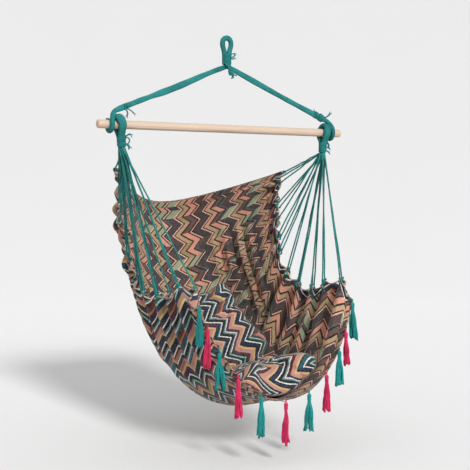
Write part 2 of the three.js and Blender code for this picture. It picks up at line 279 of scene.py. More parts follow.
def braid(half_a, half_b, strands, pitch, depth, power=0.62, swell=None, twist=0.0, soft=0.0):
    """Section half_a by half_b (superellipse) with a plaited surface: strands cross both ways."""
    def r(T, S):
        c, s_ = np.cos(T), np.sin(T)
        k = strands / 2.0
        p, q = k * T + 2 * np.pi * S / pitch, k * T - 2 * np.pi * S / pitch
        over = 0.5 + 0.5 * np.tanh(2.2 * np.sin(p / 1.0 + q) if False else 2.2 * np.sin(p) * np.sin(q))
        h = over * np.abs(np.cos(p)) ** 0.7 + (1 - over) * np.abs(np.cos(q)) ** 0.7
        g = 1.0
        if swell is not None:
            g = swell(S)
        ga, gb = (g if isinstance(g, tuple) else (g, g))
        ox = np.sign(c) * np.abs(c) ** power * half_a * ga
        oy = np.sign(s_) * np.abs(s_) ** power * half_b * gb
        L = np.sqrt(ox ** 2 + oy ** 2)
        e = 1 + depth * (h - 0.6) / np.maximum(L, 1e-6)
        if soft:
            e = e + soft * np.sin(S * 61 + 2 * T) * np.sin(S * 23 + 1.3) / np.maximum(L, 1e-6)
        ox, oy = ox * e, oy * e
        if twist:
            a = twist * S
            ox, oy = ox * np.cos(a) - oy * np.sin(a), ox * np.sin(a) + oy * np.cos(a)
        return ox, oy
    return r


# ------------------------------------------------------------------
# materials
# ------------------------------------------------------------------
class Nodes:
    def __init__(self, name):
        self.mat = bpy.data.materials.new(name)
        self.mat.use_nodes = True
        self.t = self.mat.node_tree
        self.t.nodes.clear()
        self.out = self.new("ShaderNodeOutputMaterial")
        self.bsdf = self.new("ShaderNodeBsdfPrincipled")
        self.link(self.bsdf.outputs[0], self.out.inputs[0])

    def new(self, kind, **kw):
        n = self.t.nodes.new(kind)
        for k, v in kw.items():
            setattr(n, k, v)
        return n

    def link(self, a, b):
        self.t.links.new(a, b)

    def put(self, socket, value):
        if isinstance(value, bpy.types.NodeSocket):
            self.link(value, socket)
        else:
            socket.default_value = value

    def math(self, op, a, b=0.0, c=0.0, clamp=False):
        n = self.new("ShaderNodeMath", operation=op, use_clamp=clamp)
        self.put(n.inputs[0], a)
        self.put(n.inputs[1], b)
        self.put(n.inputs[2], c)
        return n.outputs[0]

    def mix(self, f, a, b, mode="MIX"):
        n = self.new("ShaderNodeMix", data_type="RGBA", blend_type=mode)
        self.put(n.inputs[0], f)
        self.put(n.inputs[6], a)
        self.put(n.inputs[7], b)
        return n.outputs[2]

    def ramp(self, f, stops, kind="LINEAR"):
        n = self.new("ShaderNodeValToRGB")
        n.color_ramp.interpolation = kind
        e = n.color_ramp.elements
        e[0].position, e[0].color = stops[0][0], stops[0][1]
        e[1].position, e[1].color = stops[1][0], stops[1][1]
        for p, c in stops[2:]:
            x = e.new(p)
            x.color = c
        self.put(n.inputs[0], f)
        return n.outputs[0]

    def noise(self, vector, scale, detail=2.0, rough=0.5, dims="3D", distortion=0.0):
        n = self.new("ShaderNodeTexNoise", noise_dimensions=dims)
        self.put(n.inputs["Vector"], vector)
        n.inputs["Scale"].default_value = scale
        n.inputs["Detail"].default_value = detail
        n.inputs["Roughness"].default_value = rough
        n.inputs["Distortion"].default_value = distortion
        return n.outputs[0]

    def combine(self, x, y, z=0.0):
        n = self.new("ShaderNodeCombineXYZ")
        self.put(n.inputs[0], x)
        self.put(n.inputs[1], y)
        self.put(n.inputs[2], z)
        return n.outputs[0]

    def split(self, v):
        n = self.new("ShaderNodeSeparateXYZ")
        self.put(n.inputs[0], v)
        return n.outputs[0], n.outputs[1], n.outputs[2]

    def uv(self, name):
        return self.new("ShaderNodeUVMap", uv_map=name).outputs[0]

    def place(self):
        return self.new("ShaderNodeTexCoord").outputs["Object"]

    def bump(self, height, distance, strength=1.0, normal=None):
        n = self.new("ShaderNodeBump")
        n.inputs["Strength"].default_value = strength
        n.inputs["Distance"].default_value = distance
        self.put(n.inputs["Height"], height)
        if normal is not None:
            self.link(normal, n.inputs["Normal"])
        return n.outputs[0]


def grey(x):
    return (x, x, x, 1.0)


# Woven colours. Each stripe: width in millimetres, group, and the three threads it may be woven in.
INNER = {
    "charcoal": 0x3b3637, "slate": 0x4b3b38, "mauve": 0x5a4441, "salmon": 0xc38974, "rose": 0xcf9f8d,
    "tan": 0xa48a6a, "khaki": 0x8d7a5a, "sage": 0x8b9276, "maroon": 0x431513, "ink": 0x141010,
    "blush": 0xd6ac99, "brown": 0x5a3f30, "teal": 0x3c585d, "mint": 0x93a08a,
}
INNER_STRIPES = [
    (36, 0, "charcoal", "slate", "sage"),
    (6.5, 0, "rose", "rose", "blush"),
    (7.0, 1, "maroon", "ink", "maroon"),
    (21, 1, "tan", "khaki", "salmon"),
    (8.5, 1, "ink", "maroon", "ink"),
    (25, 2, "salmon", "mauve", "sage"),
    (8.5, 2, "maroon", "ink", "ink"),
    (7.0, 3, "rose", "teal", "salmon"),
    (6.0, 3, "ink", "brown", "ink"),
]
OUTER = {
    "pink": 0xb07f71, "sand": 0xc0a073, "cream": 0xdcd3c8, "navy": 0x1b253c, "plum": 0x482f3e,
    "pine": 0x081f1e, "grey": 0x617b7c, "mint": 0x86ac9b, "salmon": 0xa86856, "maroon": 0x48121f,
    "tan": 0x937856, "ink": 0x0f1216, "bottle": 0x143a35, "brown": 0x58392f, "sea": 0x1f4d5c,
}
OUTER_STRIPES = [
    (20, 0, "pink", "tan", "brown"),
    (11, 0, "sand", "sand", "salmon"),
    (5.5, 0, "ink", "ink", "maroon"),
    (21, 1, "navy", "plum", "sea"),
    (6.0, 1, "cream", "cream", "cream"),
    (17, 2, "pine", "bottle", "ink"),
    (8.0, 2, "grey", "mint", "grey"),
    (5.0, 2, "cream", "ink", "cream"),
    (17, 3, "plum", "navy", "maroon"),
]


def zigzag(N, coords, palette, stripes, repeat=0.070, reach=0.040, shift=0.0, accents=0.0):
    """A traditional stepped zigzag of many threads. coords is the flat cloth in metres: x across, y along."""
    C = sum(s[0] for s in stripes) / 1000.0
    x, y, _ = N.split(coords)
    drift = N.noise(N.combine(x, y), 7.0, 2.0)
    x = N.math("ADD", x, N.math("MULTIPLY", N.math("SUBTRACT", drift, 0.5), 0.012))
    thread = 0.0016
    xs = N.math("SNAP", x, thread)
    ys = N.math("SNAP", y, thread)
    # four arms to a repeat, two long and two short
    turn = N.math("FRACT", N.math("DIVIDE", N.math("ADD", ys, 14.0), 2 * repeat))
    rise = N.ramp(turn, [(0.0, grey(1.0)), (0.285, grey(0.0)), (0.5, grey(0.74)), (0.715, grey(0.0)), (1.0, grey(1.0))])
    zig = N.math("MULTIPLY", rise, reach * 1.22)
    T = N.math("DIVIDE", N.math("ADD", N.math("ADD", xs, zig), 10.0 + shift), C)
    frac = N.math("FRACT", T)
    k = N.math("FLOOR", T)
    seg = N.math("MULTIPLY", N.math("FLOOR", N.math("DIVIDE", N.math("ADD", ys, 14.0), 2 * repeat)), 4.0)
    for at in (0.285, 0.5, 0.715):
        seg = N.math("ADD", seg, N.math("GREATER_THAN", turn, at))
    total, pos, groups, ramps = sum(s[0] for s in stripes), 0.0, [], [[], [], []]
    for w, g, *names in stripes:
        p = pos / total
        if not groups or groups[-1][1][0] != g / 4.0 + 0.1:
            groups.append((p, grey(g / 4.0 + 0.1)))
        for r, nm in zip(ramps, names):
            r.append((p, srgb(palette[nm])))
        pos += w
    group = N.ramp(frac, groups, "CONSTANT")
    wn = N.new("ShaderNodeTexWhiteNoise", noise_dimensions="3D")
    N.link(N.combine(k, seg, N.math("MULTIPLY", group, 37.0)), wn.inputs["Vector"])
    hsh = wn.outputs[0]
    odd = N.math("GREATER_THAN", N.math("FRACT", N.math("MULTIPLY", seg, 0.5)), 0.25)
    hsh = N.math("MULTIPLY", hsh, N.math("ADD", 0.70, N.math("MULTIPLY", odd, 0.30)))
    a, b, c = [N.ramp(frac, r, "CONSTANT") for r in ramps]
    col = N.mix(N.math("GREATER_THAN", hsh, 0.46), a, b)
    col = N.mix(N.math("GREATER_THAN", hsh, 0.70), col, c)
    # small accents of strong colour at some of the turns
    wn2 = N.new("ShaderNodeTexWhiteNoise", noise_dimensions="3D")
    N.link(N.combine(N.math("ADD", k, 51.0), seg, N.math("MULTIPLY", group, 91.0)), wn2.inputs["Vector"])
    accent = N.ramp(wn2.outputs[0], [(0.0, srgb(0x2f7f86)), (0.955, srgb(0x9c2440)), (0.98, srgb(0xcf6a4c))], "CONSTANT")
    wide = N.math("GREATER_THAN", N.math("FRACT", N.math("MULTIPLY", wn2.outputs[0], 9.0)), 0.5)
    some = N.math("MULTIPLY", N.math("GREATER_THAN", wn2.outputs[0], 0.93), wide)
    narrow = N.math("LESS_THAN", N.math("ABSOLUTE", N.math("SUBTRACT", N.math("FRACT", N.math("MULTIPLY", frac, 5.0)), 0.5)), 0.22)
    if accents:
        col = N.mix(N.math("MULTIPLY", N.math("MULTIPLY", some, narrow), accents), col, accent)
    # threads
    wx = N.math("SINE", N.math("MULTIPLY", x, 2 * math.pi / thread))
    wy = N.math("SINE", N.math("MULTIPLY", y, 2 * math.pi / thread))
    cell = N.new("ShaderNodeTexWhiteNoise", noise_dimensions="2D")
    N.link(N.combine(N.math("MULTIPLY", xs, 1 / thread), N.math("MULTIPLY", ys, 1 / thread)), cell.inputs["Vector"])
    fibre = N.noise(N.combine(N.math("MULTIPLY", x, 900.0), N.math("MULTIPLY", y, 260.0)), 1.0, 3.0)
    mottle = N.noise(N.combine(N.math("MULTIPLY", x, 60.0), N.math("MULTIPLY", y, 60.0)), 1.0, 3.0)
    light = N.math("ADD", 0.80, N.math("MULTIPLY", cell.outputs[0], 0.22))
    light = N.math("ADD", light, N.math("MULTIPLY", N.math("SUBTRACT", fibre, 0.5), 0.30))
    light = N.math("ADD", light, N.math("MULTIPLY", N.math("SUBTRACT", mottle, 0.5), 0.34))
    col = N.mix(1.0, col, N.combine(light, light, light), "MULTIPLY")
    fleck = N.math("GREATER_THAN", cell.outputs[0], 0.90)
    col = N.mix(N.math("MULTIPLY", fleck, 0.16), col, srgb(0x9fa79b))
    height = N.math("ADD", N.math("MULTIPLY", N.math("MULTIPLY", wx, wy), 0.5), N.math("MULTIPLY", fibre, 0.5))
    return col, height


def cloth_material(name, palette, stripes, uvname="weave", shift=0.0, repeat=0.070, reach=0.039, accents=0.0, painted_light_and_shade=False):
    N = Nodes(name)
    col, h = zigzag(N, N.uv(uvname), palette, stripes, repeat, reach, shift, accents)
    if painted_light_and_shade:                                          # painted shade darkens the weave in the laps of the back; painted light makes it paler along the right side
        gx, gy, _ = N.split(N.uv(uvname))
        gx = N.math("DIVIDE", N.math("ADD", gx, 0.55), 1.10)
        gy = N.math("DIVIDE", gy, 1.34)
        # painted shade over the folds on the back's right side
        painted_fold_shade = N.math("MULTIPLY", N.ramp(gx, [(0.64, grey(0.0)), (0.73, grey(1.0)), (0.82, grey(1.0)), (0.90, grey(0.0))]),
                      N.ramp(gy, [(0.20, grey(0.0)), (0.31, grey(1.0)), (0.50, grey(1.0)), (0.64, grey(0.0))]))
        # painted light along the front of the right side
        pale = N.math("MULTIPLY", N.ramp(gx, [(0.78, grey(0.0)), (0.86, grey(1.0))]), N.ramp(gy, [(0.60, grey(0.0)), (0.70, grey(1.0))]))
        tone = N.math("MULTIPLY", N.math("SUBTRACT", 1.0, N.math("MULTIPLY", painted_fold_shade, 0.36)), N.math("ADD", 1.0, N.math("MULTIPLY", pale, 0.30)))
        col = N.mix(1.0, col, N.combine(tone, tone, tone), "MULTIPLY")
    N.link(col, N.bsdf.inputs["Base Color"])
    rough = N.math("ADD", 0.80, N.math("MULTIPLY", h, 0.10))
    N.link(rough, N.bsdf.inputs["Roughness"])
    N.bsdf.inputs["Sheen Weight"].default_value = 0.12
    N.bsdf.inputs["Sheen Roughness"].default_value = 0.5
    N.bsdf.inputs["Specular IOR Level"].default_value = 0.25
    big = N.noise(N.place(), 45.0, 3.0)
    nb = N.bump(h, 0.0005, 0.7)
    nb = N.bump(big, 0.002, 0.35, nb)
    N.link(nb, N.bsdf.inputs["Normal"])
    return N.mat


def yarn_material(name, dark, mid, light, scale=1.0, sheen=0.25, rough=0.82, twist=0.0, plait=None):
    """Spun cotton: fine fibres along the strand, with painted shade from the lay: paler on the crests and darker in the
    hollows.
    twist: pitch of a three-ply strand; plait: (strands, pitch) of a plaited rope."""
    N = Nodes(name)
    a, s, _ = N.split(N.uv("lay"))
    fib = N.noise(N.combine(N.math("MULTIPLY", a, 26.0), N.math("MULTIPLY", s, 420.0 * scale)), 1.0, 4.0, 0.6)
    spot = N.noise(N.place(), 150.0 * scale, 3.0, 0.6)
    band = N.noise(N.place(), 16.0, 2.0)
    f = N.math("ADD", N.math("MULTIPLY", fib, 0.5), N.math("MULTIPLY", spot, 0.5))
    if twist:
        ang = N.math("MULTIPLY", N.math("SUBTRACT", a, N.math("DIVIDE", s, twist)), 3 * math.pi)
        # painted shade: darker in the hollows between the plies, paler on their crests
        painted_ply_shade = N.math("ABSOLUTE", N.math("COSINE", ang))
        f = N.math("ADD", N.math("MULTIPLY", f, 0.55), N.math("MULTIPLY", painted_ply_shade, 0.42))
    if plait:
        k, pitch = plait[0] / 2.0, plait[1]
        p = N.math("ADD", N.math("MULTIPLY", a, 2 * math.pi * k), N.math("MULTIPLY", s, 2 * math.pi / pitch))
        q = N.math("SUBTRACT", N.math("MULTIPLY", a, 2 * math.pi * k), N.math("MULTIPLY", s, 2 * math.pi / pitch))
        over = N.math("GREATER_THAN", N.math("MULTIPLY", N.math("SINE", p), N.math("SINE", q)), 0.0)
        hp = N.math("ABSOLUTE", N.math("COSINE", p))
        hq = N.math("ABSOLUTE", N.math("COSINE", q))
        # painted shade: darker where a strand passes under, paler where it crosses over
        painted_ply_shade = N.math("ADD", N.math("MULTIPLY", over, hp), N.math("MULTIPLY", N.math("SUBTRACT", 1.0, over), hq))
        f = N.math("ADD", N.math("MULTIPLY", f, 0.55), N.math("MULTIPLY", painted_ply_shade, 0.40))
    col = N.ramp(f, [(0.30, srgb(dark)), (0.52, srgb(mid)), (0.72, srgb(light))])
    col = N.mix(N.math("MULTIPLY", N.math("SUBTRACT", band, 0.42), 1.6, clamp=True), col, srgb(dark))
    N.link(col, N.bsdf.inputs["Base Color"])
    N.link(N.math("ADD", rough - 0.08, N.math("MULTIPLY", spot, 0.16)), N.bsdf.inputs["Roughness"])
    N.bsdf.inputs["Sheen Weight"].default_value = sheen
    N.bsdf.inputs["Sheen Roughness"].default_value = 0.45
    N.bsdf.inputs["Specular IOR Level"].default_value = 0.3
    nb = N.bump(f, 0.0006, 0.8)
    N.link(nb, N.bsdf.inputs["Normal"])
    return N.mat


def wood_material():
    N = Nodes("pale_wood")
    x, y, z = N.split(N.place())
    # rings about a pith a little off the dowel's axis, stretched along it
    wander = N.noise(N.combine(N.math("MULTIPLY", x, 3.0), N.math("MULTIPLY", y, 20.0), N.math("MULTIPLY", z, 20.0)), 1.0, 3.0)
    yy = N.math("ADD", N.math("ADD", y, 0.031), N.math("MULTIPLY", N.math("SUBTRACT", wander, 0.5), 0.010))
    zz = N.math("ADD", N.math("ADD", z, 0.338), N.math("MULTIPLY", x, 0.006))
    r = N.math("SQRT", N.math("ADD", N.math("MULTIPLY", yy, yy), N.math("MULTIPLY", zz, zz)))
    ring = N.math("FRACT", N.math("MULTIPLY", r, 300.0))
    ring = N.math("MULTIPLY", N.math("SMOOTH_MIN", ring, N.math("MULTIPLY", N.math("SUBTRACT", 1.0, ring), 4.0), 0.3), 1.0)
    streak = N.noise(N.combine(N.math("MULTIPLY", x, 9.0), N.math("MULTIPLY", y, 520.0), N.math("MULTIPLY", z, 520.0)), 1.0, 4.0, 0.6)
    pore = N.noise(N.combine(N.math("MULTIPLY", x, 45.0), N.math("MULTIPLY", y, 1800.0), N.math("MULTIPLY", z, 1800.0)), 1.0, 2.0)
    cloud = N.noise(N.combine(N.math("MULTIPLY", x, 6.0), N.math("MULTIPLY", y, 40.0), N.math("MULTIPLY", z, 40.0)), 1.0, 3.0)
    f = N.math("ADD", N.math("MULTIPLY", ring, 0.42), N.math("MULTIPLY", streak, 0.58))
    col = N.ramp(f, [(0.24, srgb(0xa48b78)), (0.45, srgb(0xbaa692)), (0.75, srgb(0xc9baaa))])
    col = N.mix(N.math("MULTIPLY", N.math("GREATER_THAN", pore, 0.66), 0.25), col, srgb(0x8f6c52))
    col = N.mix(N.math("MULTIPLY", cloud, 0.35), col, srgb(0xc3a691))
    wear = N.math("MULTIPLY", N.math("SUBTRACT", N.math("ABSOLUTE", x), 0.487), 60.0, clamp=True)
    col = N.mix(N.math("MULTIPLY", wear, 0.35), col, srgb(0xb89068))
    N.link(col, N.bsdf.inputs["Base Color"])
    N.link(N.math("ADD", 0.42, N.math("MULTIPLY", streak, 0.22)), N.bsdf.inputs["Roughness"])
    N.bsdf.inputs["Specular IOR Level"].default_value = 0.4
    nb = N.bump(N.math("ADD", N.math("MULTIPLY", streak, 0.6), N.math("MULTIPLY", pore, 0.4)), 0.0003, 0.5)
    N.link(nb, N.bsdf.inputs["Normal"])
    return N.mat


def edge_material():
    """The rolled side edge: overcast with pale thread, slanting stitches over the coloured cloth."""
    N = Nodes("overcast_edge")
    a, s, _ = N.split(N.uv("lay"))
    slant = N.math("FRACT", N.math("ADD", N.math("MULTIPLY", s, 250.0), N.math("MULTIPLY", a, 1.0)))
    thread = N.math("LESS_THAN", N.math("ABSOLUTE", N.math("SUBTRACT", slant, 0.5)), 0.34)
    under = N.noise(N.combine(N.math("MULTIPLY", s, 40.0), 0.0), 1.0, 2.0)
    dark = N.ramp(under, [(0.36, srgb(0x3f3533)), (0.47, srgb(0x8d5a4c)), (0.56, srgb(0x6d7f73)), (0.64, srgb(0xa98a6c))], "CONSTANT")
    tone = N.noise(N.place(), 110.0, 3.0)
    pale = N.ramp(tone, [(0.32, srgb(0xc2ad9a)), (0.6, srgb(0xe3d5c6))])
    cover = N.math("GREATER_THAN", N.noise(N.combine(N.math("MULTIPLY", s, 14.0), 7.0), 1.0, 2.0), 0.53)
    col = N.mix(N.math("MULTIPLY", thread, N.math("ADD", 0.12, N.math("MULTIPLY", cover, 0.70))), dark, pale)
    N.link(col, N.bsdf.inputs["Base Color"])
    N.link(N.math("ADD", 0.74, N.math("MULTIPLY", tone, 0.2)), N.bsdf.inputs["Roughness"])
    N.bsdf.inputs["Sheen Weight"].default_value = 0.15
    N.bsdf.inputs["Specular IOR Level"].default_value = 0.25
    N.link(N.bump(N.math("ADD", thread, N.math("MULTIPLY", tone, 0.6)), 0.0006, 0.8), N.bsdf.inputs["Normal"])
    return N.mat


# the inner face carries painted shade in the back's folds and painted light along its right side
M_IN = cloth_material("zigzag_inner_face", INNER, INNER_STRIPES, painted_light_and_shade=True)
M_OUT = cloth_material("zigzag_outer_face", OUTER, OUTER_STRIPES, repeat=0.090, reach=0.041, accents=0.7)
M_SEAT = cloth_material("zigzag_seat_cushion", OUTER, OUTER_STRIPES, shift=0.020, repeat=0.078, reach=0.062, accents=0.4)
M_CUSH = cloth_material("zigzag_cushion", OUTER, OUTER_STRIPES, shift=0.043, repeat=0.084, reach=0.046, accents=0.5)
M_ROPE = yarn_material("teal_rope", 0x043839, 0x106a68, 0x2b9290, 0.8, sheen=0.0, plait=(14, 0.022))
M_BIND = yarn_material("teal_binding", 0x04393a, 0x106564, 0x2a8b89, 1.2, sheen=0.0, twist=0.0085)
M_CORD = yarn_material("teal_twine", 0x022e2d, 0x0a5b58, 0x3d9c96, 1.4, sheen=0.0, twist=0.0125)
M_TEAL = yarn_material("teal_tassel_yarn", 0x044a49, 0x087d7b, 0x209f9b, 1.2, sheen=0.05, twist=0.011)
M_PINK = yarn_material("pink_tassel_yarn", 0x86082f, 0xc0124a, 0xe03d70, 1.2, sheen=0.05, twist=0.011)
M_WOOD = wood_material()
M_EDGE = edge_material()
M_THREAD = yarn_material("sewing_thread", 0x5d4c42, 0x8f7a69, 0xb9a591, 2.0)

BODY_OF = {}


def piece(ob, body, replaced=()):
    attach(ob, body)
    if replaced:
        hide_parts(*replaced)
    return ob


# ------------------------------------------------------------------
# camera
# ------------------------------------------------------------------
cam_data = bpy.data.cameras.new("camera")
cam_data.sensor_width = 36.0
cam_data.lens = 999.0 / 470.0 * 36.0
cam = bpy.data.objects.new("camera", cam_data)
bpy.context.scene.collection.objects.link(cam)
AZ, PITCH = math.radians(-30.47), math.radians(2.07)
forward = Vector((-math.sin(AZ) * math.cos(PITCH), math.cos(AZ) * math.cos(PITCH), -math.sin(PITCH)))
cam.location = (-1.8, -3.1177, -0.567)
cam.rotation_mode = "QUATERNION"
cam.rotation_quaternion = forward.to_track_quat("-Z", "Y")
cam_data.clip_start, cam_data.clip_end = 0.05, 60.0
bpy.context.scene.camera = cam

# ------------------------------------------------------------------
# spreader bar
# ------------------------------------------------------------------
def lathe_x(name, profile, sides, mats, centre=(0, 0, BAR_Z)):
    """profile: (x, r) from end to end, r 0 at both ends."""
    xs, rs = np.array(profile).T
    th = np.arange(sides) * 2 * np.pi / sides
    verts, faces = [], []
    ring = []
    for x, r in zip(xs, rs):
        if r <= 1e-9:
            ring.append([len(verts)])
            verts.append((x, 0, 0))
        else:
            ring.append(list(range(len(verts), len(verts) + sides)))
            for t in th:
                verts.append((x, r * math.cos(t), r * math.sin(t)))
    for a, b in zip(ring[:-1], ring[1:]):
        for k in range(sides):
            k2 = (k + 1) % sides
            if len(a) == 1:
                faces.append((a[0], b[k2], b[k]))
            elif len(b) == 1:
                faces.append((a[k], a[k2], b[0]))
            else:
                faces.append((a[k], a[k2], b[k2], b[k]))
    v = np.array(verts) + np.array(centre)
    return v, [tuple(reversed(f)) for f in faces]


prof = [(-0.5, 0.0)]
R, C = 0.0146, 0.0062
for i in range(9):
    a = math.pi / 2 * i / 8
    prof.append((-0.5 + C - C * math.cos(a), R - C + C * math.sin(a)))
for i in range(1, 60):
    x = -0.5 + C + (1.0 - 2 * C) * i / 60
    prof.append((x, R + 0.00012 * math.sin(x * 37) + 0.00008 * math.sin(x * 91 + 1)))
for i in range(9):
    a = math.pi / 2 * i / 8
    prof.append((0.5 - C + C * math.sin(a), R - C + C * math.cos(a)))
prof.append((0.5, 0.0))
v, f = lathe_x("spreader_dowel", prof, 64, [])
dowel = make_object("spreader_dowel", v, f, True, None, [M_WOOD])
piece(dowel, "bar", ["spreader_bar"])

# ------------------------------------------------------------------
# hanging eye, its binding and the knot's tail
# ------------------------------------------------------------------
def B(x, y, z):  # measured from the bar's axis, in millimetres
    return np.array([x / 1000, y / 1000, z / 1000 + BAR_Z])


half = [(8.2, 230), (8.0, 250), (8.6, 268), (12.0, 282), (16.6, 294), (18.2, 304), (16.2, 314.2), (9.6, 321.4)]
pts = [B(-x, 0.6 * i, z) for i, (x, z) in enumerate(half)]
pts = [B(-x, 1.5 * math.sin(i * 0.9), z) for i, (x, z) in enumerate(half)] + [B(0, 0, 324.5)] + [B(x, -1.5 * math.sin(i * 0.9), z) for i, (x, z) in reversed(list(enumerate(half)))]
eye = Bag()
tube(eye, smooth_path(pts, 0.0011), braid(0.0090, 0.0074, 14, 0.022, 0.0012, 0.86, soft=0.0004), 52, up=(0, 1, 0), dome=0.001)
piece(eye.build("hanging_eye_rope", [M_ROPE]), "yoke", ["hanging_eye"])


def wraps(bag, z0, z1, ra, rb, turns, r, cx=0.0, cy=0.0, lean=(0.0, 0.0), seed=0, belly=0.0):
    """A tight helix of twine from height z0 to z1 (millimetres above the bar's axis)."""
    rng = np.random.default_rng(seed)
    n = int(turns * 30)
    t = np.linspace(0, 1, n)
    a = 2 * np.pi * turns * t
    jig = 0.35 * np.interp(t * turns, np.arange(int(turns) + 3), rng.normal(0, 1, int(turns) + 3))
    k = 1 + belly * np.sin(np.pi * t)
    x = cx + lean[0] * t + (ra * k + 0.25 * jig) * np.cos(a)
    y = cy + lean[1] * t + (rb * k + 0.25 * jig) * np.sin(a)
    z = z0 + (z1 - z0) * t + jig
    p = np.stack([x / 1000, y / 1000, z / 1000 + BAR_Z], 1)
    tube(bag, even(p, 0.0011), three_ply(r, 0.0075, seed, 0.03), 12, up=(0, 0, 1))


def tail(bag, points, r0, r1=None, fray=True, seed=0, plies=5):
    """A short cut end of cord, opened into its plies at the tip."""
    rng = np.random.default_rng(seed)
    p = smooth_path(points, 0.0012)
    r1 = r0 if r1 is None else r1
    tube(bag, p, three_ply(r0, 0.009, seed, 0.05), 12, up=(0, 0.3, 1), taper=lambda t: 1 + (r1 / r0 - 1) * t)
    if fray:
        d = unit(p[-1] - p[-4])
        for k in range(plies):
            side = unit(np.cross(d, rng.normal(0, 1, 3)))
            q = [p[-3] + side * r1 * 0.35, p[-1] + d * 0.002 + side * r1 * 0.9,
                 p[-1] + d * (0.005 + 0.004 * rng.random()) + side * r1 * (1.3 + rng.random()) + np.array([0, 0, -0.0015 * rng.random()])]
            tube(bag, smooth_path(q, 0.0012), r1 * 0.34, 6, up=(0.2, 0.3, 1), taper=lambda t: 1 - 0.5 * t)


bind = Bag()
core = [B(0, 0, 228.6), B(0, 0, 240), B(0, 0, 252), B(0, 0, 267)]
tube(bind, smooth_path(core, 0.002), lambda T, S: (0.0142 * np.cos(T), 0.0104 * np.sin(T)), 40, up=(0, 1, 0))
wraps(bind, 230.2, 266.0, 14.6, 10.6, 9.5, 0.0021, seed=3, belly=0.05)
# knot tail, hanging under the neck to the right, with a heavy knotted end
tail(bind, [B(-2, -10, 233), B(-3, -14, 225), B(1, -15, 216), B(7, -14, 208)], 0.0040, 0.0050, False, 5)
for i in range(2):  # the knot under the neck
    th = np.linspace(0, 2 * np.pi, 28)
    c = B(-1 + 2 * i, -9, 229 - 3.5 * i)
    ring = np.stack([c[0] + 0.0075 * np.cos(th), c[1] + 0.0045 * np.sin(th), c[2] + 0.0035 * np.sin(th + 2.2 * i)], 1)
    tube(bind, ring, three_ply(0.0036, 0.010, i, 0.05), 12, up=(0, 0, 1))
for i in range(3):
    c = B(9.5 + 2.2 * (i - 1), -14 + 1.5 * (i % 2), 203 - 3.2 * i)
    th = np.linspace(0, 2 * np.pi, 26)
    tilt = 0.5 * (i - 1)
    ring = np.stack([c[0] + 0.0056 * np.cos(th), c[1] + 0.0048 * np.sin(th), c[2] + 0.0026 * np.sin(th + i) + 0.001 * tilt * np.cos(th)], 1)
    tube(bind, ring, three_ply(0.0042, 0.010, i, 0.05), 12, up=(0, 0, 1))
tail(bind, [B(12, -14, 201), B(16, -14, 195), B(19, -14, 191)], 0.0060, 0.0064, True, 9, 9)
tail(bind, [B(12, -8, 264), B(18, -9, 268), B(25, -9, 270)], 0.0021, 0.0022, True, 11, 4)
tail(bind, [B(12, -8, 256), B(18, -10, 256), B(24, -10, 260), B(27, -10, 264)], 0.0026, 0.0030, True, 13, 6)
tail(bind, [B(12, -9, 251), B(17, -11, 250), B(22, -11, 251)], 0.0024, 0.0026, True, 14, 5)
piece(bind.build("eye_binding", [M_BIND]), "yoke", ["eye_whipping"])

